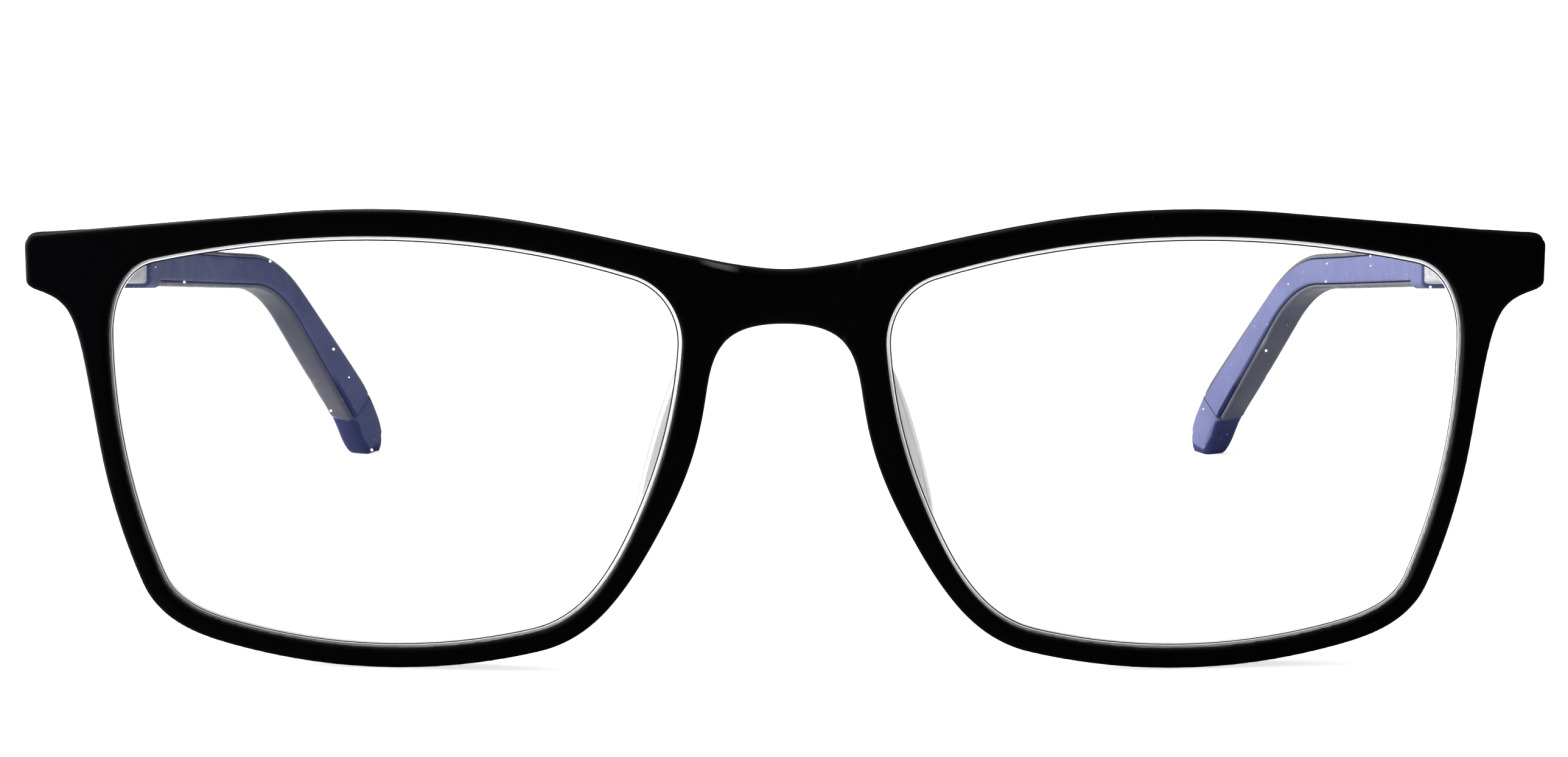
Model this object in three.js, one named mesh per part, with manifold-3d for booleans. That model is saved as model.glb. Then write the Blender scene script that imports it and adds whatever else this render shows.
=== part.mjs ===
// Blue light glasses: a moulded black front with two clear lenses, and two temples on sprung hinges.
// Millimetres. +Z is up, the front faces -Y and the temples run towards +Y. Left and right are as
// seen from the front. The glasses stand open on their lower rims and on the tips of the temples.

import * as THREE from "three";
import { mergeVertices } from "three/addons/utils/BufferGeometryUtils.js";
import Module from "manifold-3d";

const wasm = await Module();
wasm.setup();

// ---- Front ----
const openingWidth = 53.8; // lens opening in each rim
const openingHeight = 38.7;
const bridgeGap = 18.7; // between the two openings
const rimTop = 2.35; // width of the rim, seen from the front
const rimSide = 1.95;
const rimBottom = 1.8;
const frontDepth = 3.6;
const frontRadius = 390; // curve of the front, seen from above
const frontEdge = 0.4; // chamfer round the rims
const bridgeHeight = 4.9;
const bridgeDrop = 5.4; // top of the bridge below the top of the rims
const noseWidening = 0.85; // rims are wider beside the nose by up to this
const endReach = 7.85; // from the opening to the end of the front
const endHeight = 5.1;
const endDrop = 2.7; // top of the end piece below the top of the rims
const endLength = 12.5; // from the front of the bridge to the rear face of the end pieces
const endWidth = 5.4;
const endCorner = 1;
const lipWidth = 1.55; // outer wall of the end piece, which covers the knuckles

// Lens opening as knots from the upper nose side round the bottom: place across and up, as shares of
// the half width and half height, and heading in degrees.
const openingKnots = [
  [-0.999, 0.475, -86],
  [-0.863, -0.3, -67],
  [-0.482, -0.911, -14],
  [0.538, -0.921, 13],
  [0.837, -0.677, 67],
  [1, 0.492, 90.5],
  [0.83, 0.879, 168],
  [-0.835, 0.82, 197],
];
const stepsPerSpan = 8;

// ---- Lenses and pads ----
const lensThickness = 1.8;
const lensInset = 0.9; // lens face behind the front of the rim
const lensFlange = 0.8; // thickness of the edge that sits in the groove
const flangeReach = 0.5; // edge beyond the opening
const lensGap = 0.2;
const padTop = 9; // above the middle of the opening
const padBottom = 10; // below it
const padInset = 0.9; // from the opening towards the nose, at its ends
const padNoseBow = 2.6; // how far each edge bows out, as a curve's handle
const padLensBow = 1.3;
const padDepth = 5.2;
const padFlare = 0.7;

// ---- Hinge ----
const slope = THREE.MathUtils.degToRad(6.5); // temples fall towards the tips
const hingeDrop = 0.55; // hinge centre below the middle of the end piece
const knuckleRadius = 1.4;
const knuckleGap = 0.35; // knuckles to the lip outside them and the housing behind them
const rearGap = 0.4; // knuckles to the rear face of the end piece
const knuckleHeight = 1.15;
const eyeHeight = 1.5;
const pinRadius = 0.7;
const pinHeadRadius = 1.15;
const pinHead = 0.45;
const runningGap = 0.08; // round shafts and pins
const seatGap = 0.15; // between parts that sit against each other
const leafThickness = 1;
const leafLength = 4.2; // let into the end piece
const leafScrewRadius = 0.5;
const leafScrewHead = 0.85;
const leafScrewSet = 1.7; // screw from the rear face of the end piece

// ---- Spring housing ----
const housingWidth = 3;
const housingHeight = 3.4;
const housingLength = 10.4;
const housingWall = 1.4; // closed end
const boreRadius = 1.1;
const shaftRadius = 0.5;
const bushLength = 1;
const springTurns = 6;
const springWire = 0.16; // radius of the wire
const springLength = 5.2;
const stopLength = 0.8;

// ---- Temple ----
const templeOffset = 1; // middle of the temple outside the hinge axis
const templeThickness = 3.6;
const templeHeight = 4.3;
const collarStart = 24.8; // along the temple, from the hinge axis
const collarLength = 5;
const collarStep = 0.25; // collar and foot stand proud of the arm and cover
const bendStart = 77;
const bendRadius = 24;
const dropAngle = THREE.MathUtils.degToRad(36);
const tipRadius = 16;
const tipAngle = THREE.MathUtils.degToRad(26);
const tipLength = 4.5;
const tipTrim = 1.1; // cut flat, so that the tip stands on its own face
const tipLean = 11.2; // tips lean in towards the ears
const leanStart = 66; // where the lean starts to build up
const leanEase = 0.12; // share of its length that it takes to do so
const footLength = 9;
const tipTwist = THREE.MathUtils.degToRad(26); // tips turn to lie flat on the head
const tipGrowth = 0.2; // temples grow by this share towards the foot
const coverWall = 1;
const coverLip = 0.48; // edge of the cover, above and below the sleeve
const coverReach = 0.35; // cover's lips stop short of the inner face
const coreThickness = 0.8;
const coreHeight = 1.7;
const coreEnd = 15; // metal core ends this far from the tip
const plateThickness = 1.15;
const plateHeight = 3.9;
const plateCorner = 0.7;

// ---- Worked out from the sizes above ----
const eyeX = (bridgeGap + openingWidth) / 2;
const eyeZ = rimBottom + openingHeight / 2;
const frontTop = rimBottom + openingHeight + rimTop;
const halfWidth = bridgeGap / 2 + openingWidth + endReach;
const endTop = frontTop - endDrop;
const endMiddle = endTop - endHeight / 2;
const hingeInset = lipWidth + knuckleRadius + knuckleGap; // from the outer face of the end piece
const hingeSetback = knuckleRadius + rearGap; // behind the rear face of the end piece
const housingStart = knuckleRadius + knuckleGap; // from the hinge axis
const bridgeTop = frontTop - bridgeDrop;
const hinge = new THREE.Vector3(halfWidth - hingeInset, endLength + hingeSetback, endMiddle - hingeDrop);
const stackTop = eyeHeight / 2 + seatGap + knuckleHeight;

// Length of the straight drop that brings the tip down to the surface the glasses stand on.
const dropHeading = slope + dropAngle;
const tipHeading = dropHeading + tipAngle;
const fallWithoutDrop =
  bendStart * Math.sin(slope) +
  bendRadius * (Math.cos(slope) - Math.cos(dropHeading)) +
  tipRadius * (Math.cos(dropHeading) - Math.cos(tipHeading)) +
  tipLength * Math.sin(tipHeading);
const dropLength = (hinge.z + tipTrim - fallWithoutDrop) / Math.sin(dropHeading);
const dropStart = bendStart + bendRadius * dropAngle;
const tipStart = dropStart + dropLength;
const templeEnd = tipStart + tipRadius * tipAngle + tipLength;
const footStart = templeEnd - footLength;

// ---- Helpers ----

// A geometry with only its positions, shared between faces. A joined or cut one is like that already.
function merge(geometry) {
  if (!geometry.attributes.normal) {
    return geometry;
  }
  const bare = geometry.clone();
  bare.deleteAttribute("normal");
  bare.deleteAttribute("uv");
  return mergeVertices(bare, 1e-4);
}

// A closed geometry as a solid that can be joined and cut.
function solid(geometry) {
  const merged = merge(geometry);
  return new wasm.Manifold(
    new wasm.Mesh({
      numProp: 3,
      vertProperties: new Float32Array(merged.attributes.position.array),
      triVerts: new Uint32Array(merged.index.array),
    }),
  );
}

function geometryOf(manifold) {
  const mesh = manifold.getMesh();
  const geometry = new THREE.BufferGeometry();
  geometry.setAttribute("position", new THREE.BufferAttribute(new Float32Array(mesh.vertProperties), 3));
  geometry.setIndex(new THREE.BufferAttribute(new Uint32Array(mesh.triVerts), 1));
  return geometry;
}

function join(first, ...others) {
  return geometryOf(others.reduce((sum, other) => sum.add(solid(other)), solid(first)));
}

function cut(first, ...others) {
  return geometryOf(others.reduce((rest, other) => rest.subtract(solid(other)), solid(first)));
}

function common(first, second) {
  return geometryOf(solid(first).intersect(solid(second)));
}

function box(low, high) {
  const size = high.map((value, i) => value - low[i]);
  const middle = high.map((value, i) => (value + low[i]) / 2);
  return new THREE.BoxGeometry(...size).translate(...middle);
}

// Cylinder between two heights on the Z axis.
function cylinder(radius, low, high, sides = 20) {
  const geometry = new THREE.CylinderGeometry(radius, radius, high - low, sides);
  return geometry.rotateX(Math.PI / 2).translate(0, 0, (low + high) / 2);
}

// Cylinder along the temple, between two distances behind the hinge axis.
function shaftAlong(radius, start, end, sides = 16) {
  return new THREE.CylinderGeometry(radius, radius, end - start, sides).translate(0, (start + end) / 2, 0);
}

// Ring along the temple.
function ringAlong(outer, inner, start, end, sides = 20) {
  const profile = [
    [inner, start],
    [outer, start],
    [outer, end],
    [inner, end],
    [inner, start],
  ];
  return new THREE.LatheGeometry(profile.map(([r, y]) => new THREE.Vector2(r, y)), sides);
}

// Moves every vertex of a geometry by a rule.
function warp(geometry, rule) {
  const places = geometry.attributes.position;
  for (let i = 0; i < places.count; i++) {
    const moved = rule(new THREE.Vector3().fromBufferAttribute(places, i));
    places.setXYZ(i, moved.x, moved.y, moved.z);
  }
  return geometry;
}

// How far the curved front falls back from the bridge at a distance from the middle.
function sag(x) {
  return frontRadius - Math.sqrt(frontRadius ** 2 - x ** 2);
}

function bendFront(geometry) {
  return warp(geometry, (p) => p.setY(p.y + sag(p.x)));
}

// Extrudes a front-view outline from one depth to another.
function plate(shape, front, rear, options = {}) {
  const geometry = new THREE.ExtrudeGeometry(shape, { depth: rear - front, bevelEnabled: false, ...options });
  return geometry.rotateX(Math.PI / 2).translate(0, rear, 0);
}

function heading(angle) {
  return new THREE.Vector2(Math.cos(angle), Math.sin(angle));
}

// Curve that leaves one point on a heading and reaches another on its own.
function sweepBetween(from, fromHeading, fromReach, to, toHeading, toReach) {
  const leave = from.clone().addScaledVector(fromHeading, fromReach);
  const arrive = to.clone().addScaledVector(toHeading, -toReach);
  return new THREE.CubicBezierCurve(from, leave, arrive, to);
}

// The same with the reach that makes it an arc when both ends turn alike.
function arcBetween(from, fromHeading, to, toHeading) {
  const turn = Math.acos(THREE.MathUtils.clamp(fromHeading.dot(toHeading), -1, 1));
  const reach = from.distanceTo(to) / (3 * Math.cos(turn / 4) ** 2);
  return sweepBetween(from, fromHeading, reach, to, toHeading, reach);
}

// ---- Outlines, seen from the front, right side ----

// Points round the lens opening, each with its outward normal.
function openingSamples() {
  const knots = openingKnots.map(([across, up, angle]) => ({
    at: new THREE.Vector2(eyeX + (across * openingWidth) / 2, eyeZ + (up * openingHeight) / 2),
    heading: heading(THREE.MathUtils.degToRad(angle)),
  }));
  return knots.flatMap((knot, i) => {
    const next = knots[(i + 1) % knots.length];
    const span = arcBetween(knot.at, knot.heading, next.at, next.heading);
    return Array.from({ length: stepsPerSpan }, (_, step) => {
      const along = span.getTangent(step / stepsPerSpan);
      return { at: span.getPoint(step / stepsPerSpan), normal: new THREE.Vector2(along.y, -along.x) };
    });
  });
}

const opening = openingSamples();

function grownOpening(reach) {
  return opening.map(({ at, normal }) => at.clone().addScaledVector(normal, reach));
}

// Rim width for a direction round the opening.
function rimWidth(normal) {
  return rimSide + (rimTop - rimSide) * Math.max(0, normal.y) + (rimBottom - rimSide) * Math.max(0, -normal.y);
}

// Extra rim width beside the nose, more towards the bridge.
function besideNose(at, normal) {
  return noseWidening * Math.max(0, -normal.x) * THREE.MathUtils.smoothstep(at.y, eyeZ - 14, eyeZ + 1);
}

// Half of the front's outline, from the underside of the bridge round to its top.
function halfFront() {
  const outer = (widening) =>
    opening.map(({ at, normal }) => at.clone().addScaledVector(normal, rimWidth(normal) + widening(at, normal)));
  const lower = outer(besideNose).filter((p) => p.y < eyeZ + 1);
  const crown = outer(() => 0).filter(
    (p) => p.y > eyeZ && p.x < eyeX + openingWidth * 0.22 && p.x > eyeX - openingWidth * 0.26,
  );
  const right = new THREE.Vector2(1, 0);
  const left = new THREE.Vector2(-1, 0);
  const up = new THREE.Vector2(0, 1);
  const endUnder = new THREE.Vector2(halfWidth - endCorner, endTop - endHeight);
  const endUnderHeading = heading(0.3);
  const endCrown = new THREE.Vector2(halfWidth - endCorner, endTop);
  const endCrownHeading = heading(Math.PI - 0.1);
  const direction = (points, i) => points[i + 1].clone().sub(points[i]).normalize();
  const nose = sweepBetween(
    new THREE.Vector2(0, bridgeTop - bridgeHeight),
    right,
    bridgeGap * 0.42,
    lower[0],
    direction(lower, 0),
    bridgeHeight * 1.2,
  );
  const fillet = sweepBetween(
    lower.at(-1),
    direction(lower, lower.length - 2),
    (endUnder.y - lower.at(-1).y) * 0.84,
    endUnder,
    endUnderHeading,
    endReach * 0.5,
  );
  const lowCorner = arcBetween(endUnder, endUnderHeading, endUnder.clone().add({ x: endCorner, y: endCorner }), up);
  const highCorner = arcBetween(
    endCrown.clone().add({ x: endCorner, y: -endCorner }),
    up,
    endCrown,
    endCrownHeading,
  );
  const brow = arcBetween(endCrown, endCrownHeading, crown[0], direction(crown, 0));
  const bridge = sweepBetween(
    crown.at(-1),
    direction(crown, crown.length - 2),
    bridgeGap * 0.4,
    new THREE.Vector2(0, bridgeTop),
    left,
    bridgeGap * 0.27,
  );
  return [
    ...nose.getPoints(10).slice(0, -1),
    ...lower,
    ...fillet.getPoints(9).slice(1),
    ...lowCorner.getPoints(3).slice(1),
    ...highCorner.getPoints(3),
    ...brow.getPoints(5).slice(1, -1),
    ...crown,
    ...bridge.getPoints(8).slice(1),
  ];
}

function mirroredPoints(points) {
  return points.map((p) => new THREE.Vector2(-p.x, p.y)).reverse();
}

// Ring round the opening, for the groove and the edge of the lens.
function ringShape(outer, inner) {
  const shape = new THREE.Shape(grownOpening(outer));
  shape.holes.push(new THREE.Path(grownOpening(inner)));
  return shape;
}

// ---- Front and lenses ----

// Mirror image across the middle of the glasses.
function mirror(geometry) {
  const copy = geometry.clone().scale(-1, 1, 1);
  if (!copy.index) {
    copy.setIndex([...Array(copy.attributes.position.count).keys()]);
  }
  const corners = copy.index.array;
  for (let i = 0; i < corners.length; i += 3) {
    [corners[i + 1], corners[i + 2]] = [corners[i + 2], corners[i + 1]];
  }
  return copy;
}

// Places a geometry built about the right hinge into the frame of the front.
function atHinge(geometry) {
  return geometry.clone().rotateX(-slope).translate(hinge.x, hinge.y, hinge.z);
}

// Solid part of the end piece behind the rim, with the lip that covers the knuckles.
function endBlock() {
  const inner = halfWidth - endWidth;
  const lipEnd = hinge.y + knuckleRadius - 0.3;
  const start = sag(halfWidth) + frontDepth / 2;
  const outline = [
    [inner, start],
    [halfWidth, start],
    [halfWidth, lipEnd - frontEdge],
    [halfWidth - frontEdge, lipEnd],
    [halfWidth - lipWidth, lipEnd],
    [halfWidth - lipWidth, endLength],
    [inner + frontEdge, endLength],
    [inner, endLength - frontEdge],
  ].map(([x, y]) => new THREE.Vector2(x, y));
  const low = endTop - endHeight + 0.1;
  const options = {
    depth: endHeight - 0.2 - 2 * frontEdge,
    bevelSize: frontEdge,
    bevelThickness: frontEdge,
    bevelOffset: -frontEdge,
    bevelSegments: 1,
  };
  return new THREE.ExtrudeGeometry(new THREE.Shape(outline), options).translate(0, 0, low + frontEdge);
}

// Slot and screw hole for the hinge leaf, cut from the end piece.
function leafCuts() {
  const face = -hingeSetback;
  const slot = box(
    [-leafThickness / 2 - seatGap, face - leafLength - seatGap, -stackTop - seatGap],
    [leafThickness / 2 + seatGap, face + 1, stackTop + seatGap],
  );
  const reach = leafScrewReach();
  const hole = cylinder(leafScrewRadius + runningGap, reach.head - 2, reach.tip + seatGap);
  const recess = cylinder(leafScrewHead + runningGap, reach.head - 2, reach.head + 0.5 + seatGap);
  return [slot, acrossLeaf(hole), acrossLeaf(recess)];
}

// Where the leaf's screw starts and ends, across the end piece.
function leafScrewReach() {
  const inner = hingeInset - endWidth;
  return { head: inner + 0.1, tip: leafThickness / 2 + 0.9 };
}

// Turns a piece on the Z axis to lie across the leaf, at its screw.
function acrossLeaf(geometry) {
  return geometry.rotateY(Math.PI / 2).translate(0, -hingeSetback - leafScrewSet, 0);
}

function frontFrame() {
  const half = halfFront();
  const outline = new THREE.Shape([...half, ...mirroredPoints(half).slice(1, -1)]);
  outline.holes.push(new THREE.Path(grownOpening(0)));
  outline.holes.push(new THREE.Path(mirroredPoints(grownOpening(0))));
  const face = new THREE.ExtrudeGeometry(outline, {
    depth: frontDepth - 2 * frontEdge,
    bevelSize: frontEdge,
    bevelThickness: frontEdge,
    bevelOffset: -frontEdge,
    bevelSegments: 1,
  });
  const rims = bendFront(face.rotateX(Math.PI / 2).translate(0, frontDepth - frontEdge, 0));
  const grooveMiddle = lensInset + lensThickness / 2;
  const grooveHalf = lensFlange / 2 + lensGap;
  const grooveShape = ringShape(flangeReach + lensGap, -1);
  const groove = bendFront(plate(grooveShape, grooveMiddle - grooveHalf, grooveMiddle + grooveHalf));
  const blocks = join(rims, endBlock(), mirror(endBlock()));
  const cuts = [groove, ...leafCuts().map(atHinge)];
  return cut(blocks, ...cuts, ...cuts.map(mirror));
}

// Plate that follows the curve of the front, cut to an outline.
function curvedPlate(shape, front, rear) {
  const steps = 24;
  const across = Array.from({ length: steps + 1 }, (_, i) => bridgeGap / 4 + (i / steps) * halfWidth);
  const ahead = across.map((x) => new THREE.Vector2(x, front + sag(x)));
  const behind = across.map((x) => new THREE.Vector2(x, rear + sag(x))).reverse();
  const band = new THREE.ExtrudeGeometry(new THREE.Shape([...ahead, ...behind]), {
    depth: frontTop + 2,
    bevelEnabled: false,
  });
  return common(plate(shape, -1, frontDepth + sag(halfWidth) + 4), band.translate(0, 0, -1));
}

function lens() {
  const middle = lensInset + lensThickness / 2;
  const body = curvedPlate(new THREE.Shape(grownOpening(-lensGap)), lensInset, lensInset + lensThickness);
  const edge = curvedPlate(
    new THREE.Shape(grownOpening(flangeReach)),
    middle - lensFlange / 2,
    middle + lensFlange / 2,
  );
  return join(body, edge);
}

// Point on the nose side of the opening at a height.
function noseSideAt(height) {
  const side = opening.filter(({ at, normal }) => normal.x < 0 && at.x < eyeX && normal.y < 0.3);
  const gap = ({ at }) => Math.abs(at.y - height);
  return side.reduce((best, sample) => (gap(sample) < gap(best) ? sample : best)).at;
}

// Soft pad behind the nose side of the rim. It widens towards the lens as it goes back.
function nosePad() {
  const onRim = [noseSideAt(eyeZ + padTop), noseSideAt(eyeZ - padBottom)];
  const lensward = new THREE.Vector2(onRim[0].y - onRim[1].y, onRim[1].x - onRim[0].x).normalize();
  const [top, bottom] = onRim.map((end) => end.clone().addScaledVector(lensward, -padInset));
  const bowed = (from, to, bow) => {
    const handle = (share) => from.clone().lerp(to, share).addScaledVector(lensward, bow);
    return new THREE.CubicBezierCurve(from, handle(0.08), handle(0.92), to).getPoints(10).slice(0, -1);
  };
  const outline = [...bowed(top, bottom, -padNoseBow), ...bowed(bottom, top, padLensBow)];
  const pad = plate(new THREE.Shape(outline), 0, padDepth, { steps: 4 });
  const middle = top.clone().lerp(bottom, 0.5);
  return warp(pad, (p) => {
    const back = p.y / padDepth;
    const shrink = 1 - 0.25 * back ** 2;
    p.x = middle.x + (p.x - middle.x) * shrink + padFlare * back;
    p.z = middle.y + (p.z - middle.y) * shrink;
    p.y += frontDepth + sag(middle.x + padLensBow) + seatGap;
    return p;
  });
}

// ---- Hinge: built about its own axis, which is Z, with the temple along Y ----

function hingeLeaf() {
  const face = -hingeSetback;
  const half = leafThickness / 2;
  const blade = box([-half, face - leafLength, -stackTop], [half, face + seatGap, stackTop]);
  const knuckles = [-stackTop, eyeHeight / 2 + seatGap].flatMap((low) => [
    cylinder(knuckleRadius, low, low + knuckleHeight),
    box([-half, face, low + 0.05], [half, 0.3, low + knuckleHeight - 0.05]),
  ]);
  const bore = cylinder(pinRadius + runningGap, -stackTop - 1, stackTop + 1);
  const reach = leafScrewReach();
  const hole = acrossLeaf(cylinder(leafScrewRadius + runningGap, reach.head, reach.tip));
  return cut(join(blade, ...knuckles), bore, hole);
}

// Slotted screw on the Z axis, with its head on top.
function screw(radius, headRadius, head, low, top) {
  const shank = cylinder(radius, low, top + head * 0.4);
  const cap = cylinder(headRadius, top, top + head);
  const slot = box([-headRadius, -0.12, top + head / 2], [headRadius, 0.12, top + head + 1]);
  return cut(join(shank, cap), slot);
}

function hingeScrew() {
  return screw(pinRadius, pinHeadRadius, pinHead, -stackTop, stackTop + seatGap);
}

function leafScrew() {
  const { head, tip } = leafScrewReach();
  const flipped = screw(leafScrewRadius, leafScrewHead, 0.5, -tip, -head - 0.5).rotateY(Math.PI);
  return acrossLeaf(flipped);
}

const bushStart = housingStart + 0.1;
const springStart = bushStart + bushLength + seatGap;
const stopStart = springStart + springLength + 2 * springWire + seatGap;

// Middle knuckle with the shaft that slides in the housing.
function hingeEye() {
  const half = eyeHeight / 2;
  const knuckle = cylinder(knuckleRadius, -half, half);
  const neck = box([-half, 0, -half], [half, housingStart - 0.25, half]);
  const shaft = shaftAlong(shaftRadius, 1, stopStart + stopLength + 0.3);
  return cut(join(knuckle, neck, shaft), cylinder(pinRadius + runningGap, -half - 1, half + 1));
}

function springStop() {
  return ringAlong(boreRadius - 0.1, shaftRadius + runningGap / 2, stopStart, stopStart + stopLength);
}

function housingBush() {
  return ringAlong(boreRadius - 0.05, shaftRadius + runningGap, bushStart, bushStart + bushLength);
}

class Helix extends THREE.Curve {
  getPoint(t) {
    const angle = t * springTurns * 2 * Math.PI;
    const radius = (boreRadius + shaftRadius) / 2 + 0.02;
    return new THREE.Vector3(
      radius * Math.cos(angle),
      springStart + springWire + t * springLength,
      radius * Math.sin(angle),
    );
  }
}

function flexSpring() {
  const section = new THREE.Shape(new THREE.EllipseCurve(0, 0, springWire, springWire).getPoints(5).slice(0, -1));
  return new THREE.ExtrudeGeometry(section, { extrudePath: new Helix(), steps: springTurns * 12 });
}

// Block with chamfered long edges, along the temple.
function barAlong(low, high, chamfer) {
  const [x0, y0, z0] = low;
  const [x1, y1, z1] = high;
  const section = [
    [x0 + chamfer, z0],
    [x1 - chamfer, z0],
    [x1, z0 + chamfer],
    [x1, z1 - chamfer],
    [x1 - chamfer, z1],
    [x0 + chamfer, z1],
    [x0, z1 - chamfer],
    [x0, z0 + chamfer],
  ].map(([x, z]) => new THREE.Vector2(x, z));
  return plate(new THREE.Shape(section), y0, y1);
}

function springHousing() {
  const end = housingStart + housingLength;
  const half = [housingWidth / 2, housingHeight / 2];
  const body = barAlong([-half[0], housingStart, -half[1]], [half[0], end, half[1]], 0.4);
  return cut(body, shaftAlong(boreRadius, housingStart - 1, end - housingWall, 20));
}

// ---- Temple ----

// Place and directions on the temple's middle line, at a distance behind the hinge axis.
function templeAt(distance) {
  const at = new THREE.Vector3(templeOffset, Math.min(distance, bendStart), 0);
  const turn = (from, radius, angle) => {
    const done = THREE.MathUtils.clamp((distance - from.distance) / radius, 0, angle);
    at.y += radius * (Math.sin(from.angle + done) - Math.sin(from.angle));
    at.z -= radius * (Math.cos(from.angle) - Math.cos(from.angle + done));
    return from.angle + done;
  };
  const run = (start, end, angle) => {
    const done = THREE.MathUtils.clamp(distance - start, 0, end - start);
    at.y += done * Math.cos(angle);
    at.z -= done * Math.sin(angle);
  };
  let angle = turn({ distance: bendStart, angle: 0 }, bendRadius, dropAngle);
  run(dropStart, tipStart, dropAngle);
  if (distance > tipStart) {
    angle = turn({ distance: tipStart, angle: dropAngle }, tipRadius, tipAngle);
    run(templeEnd - tipLength, templeEnd, dropAngle + tipAngle);
  }
  const past = Math.max(0, distance - leanStart) / (templeEnd - leanStart);
  const eased = (share) => Math.hypot(share, leanEase) - leanEase;
  at.x -= (tipLean * eased(past)) / eased(1);
  const inwards = (-tipLean * past) / (Math.hypot(past, leanEase) * eased(1) * (templeEnd - leanStart));
  const along = new THREE.Vector3(inwards, Math.cos(angle), -Math.sin(angle)).normalize();
  const up = new THREE.Vector3(0, Math.sin(angle), Math.cos(angle));
  const out = new THREE.Vector3().crossVectors(along, up).normalize();
  const twist = tipTwist * THREE.MathUtils.smoothstep(distance, bendStart, templeEnd);
  const outwards = out.clone().multiplyScalar(Math.cos(twist)).addScaledVector(up, Math.sin(twist));
  return { at, out: outwards, up: new THREE.Vector3().crossVectors(outwards, along) };
}

// Distances at which a piece on the temple has a ring of points: close together where it bends.
function stations(start, end) {
  const bendStep = 3.2;
  const inner = [];
  for (let at = leanStart - 1; at < end - bendStep / 2; at += bendStep) {
    if (at > start + bendStep / 2) {
      inner.push(at);
    }
  }
  return [start, ...inner, end];
}

// Sweeps a section along the temple. The section is drawn outwards and upwards.
function alongTemple(section, start, end) {
  const rings = stations(start, end);
  const shape = new THREE.Shape(section.map(([out, up]) => new THREE.Vector2(out, up)));
  const steps = rings.length - 1;
  const bar = new THREE.ExtrudeGeometry(shape, { depth: steps, steps, bevelEnabled: false });
  const swept = warp(bar, (p) => {
    const distance = rings[Math.round(p.z)];
    const { at, out, up } = templeAt(distance);
    const size = 1 + tipGrowth * THREE.MathUtils.smoothstep(distance, bendStart, footStart);
    return at.addScaledVector(out, p.x * size).addScaledVector(up, p.y * size);
  });
  return flip(swept);
}

// Turns a geometry's faces over.
function flip(geometry) {
  return mirror(geometry).scale(-1, 1, 1);
}

// Rectangle with cut corners, as a section.
function cornered(left, right, low, high, corner) {
  return [
    [left + corner, low],
    [right - corner, low],
    [right, low + corner],
    [right, high - corner],
    [right - corner, high],
    [left + corner, high],
    [left, high - corner],
    [left, low + corner],
  ];
}

// Everything below the surface that the glasses stand on, about the hinge.
function belowGround() {
  const ground = box([-200, -100, -100], [200, 300, 0]);
  return ground.translate(-hinge.x, -hinge.y, -hinge.z).rotateX(slope);
}

const halfThick = templeThickness / 2;
const halfHigh = templeHeight / 2;
const sleeveOut = halfThick - coverWall - seatGap;
const coreMiddle = (sleeveOut - halfThick) / 2;

function coreSection(gap) {
  const half = coreThickness / 2 + gap;
  return cornered(coreMiddle - half, coreMiddle + half, -coreHeight / 2 - gap, coreHeight / 2 + gap, 0.2);
}

function templeArm() {
  const plateIn = housingWidth / 2 + seatGap;
  const plateOut = plateIn + plateThickness;
  const blockStart = housingStart + housingLength + seatGap;
  const blockEnd = collarStart - seatGap;
  const half = plateHeight / 2;
  const outline = [
    [plateIn, housingStart],
    [plateOut - plateCorner, housingStart],
    [plateOut - plateCorner * 0.35, housingStart + plateCorner * 0.35],
    [plateOut, housingStart + plateCorner],
    [plateOut, blockEnd],
    [templeOffset - halfThick, blockEnd],
    [templeOffset - halfThick, blockStart],
    [plateIn, blockStart],
  ].map(([x, y]) => new THREE.Vector2(x, y));
  const bevel = 0.2;
  const body = new THREE.ExtrudeGeometry(new THREE.Shape(outline), {
    depth: plateHeight - 2 * bevel,
    bevelSize: bevel,
    bevelThickness: bevel,
    bevelOffset: -bevel,
    bevelSegments: 1,
  }).translate(0, 0, bevel - half);
  return join(body, alongTemple(coreSection(0), blockEnd - 0.5, templeEnd - coreEnd));
}

function templeSleeve() {
  const edge = halfHigh - coverLip - seatGap;
  const body = alongTemple(
    cornered(-halfThick, sleeveOut, -edge, edge, 0.35),
    collarStart + collarLength - 0.5,
    footStart + 0.5,
  );
  const proud = [halfThick + collarStep, halfHigh + collarStep];
  const collar = cornered(-proud[0], proud[0], -proud[1], proud[1], 0.8);
  return cut(
    join(
      body,
      alongTemple(collar, collarStart, collarStart + collarLength),
      alongTemple(cornered(-halfThick, halfThick, -halfHigh, halfHigh, 0.8), footStart, templeEnd),
    ),
    alongTemple(coreSection(seatGap), collarStart - 1, templeEnd - coreEnd + 0.5),
    belowGround(),
  );
}

function templeCover() {
  const lipIn = -halfThick + coverReach;
  const inner = halfThick - coverWall;
  const edge = halfHigh - coverLip;
  const corner = 0.5;
  const section = [
    [lipIn, -halfHigh],
    [halfThick - corner, -halfHigh],
    [halfThick, -halfHigh + corner],
    [halfThick, halfHigh - corner],
    [halfThick - corner, halfHigh],
    [lipIn, halfHigh],
    [lipIn, edge],
    [inner, edge],
    [inner, -edge],
    [lipIn, -edge],
  ];
  return alongTemple(section, collarStart + collarLength + seatGap, footStart - seatGap);
}

// ---- Materials ----

function material(color, roughness, metalness = 0, extra = {}) {
  return new THREE.MeshStandardMaterial({ color, roughness, metalness, ...extra });
}

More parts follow.
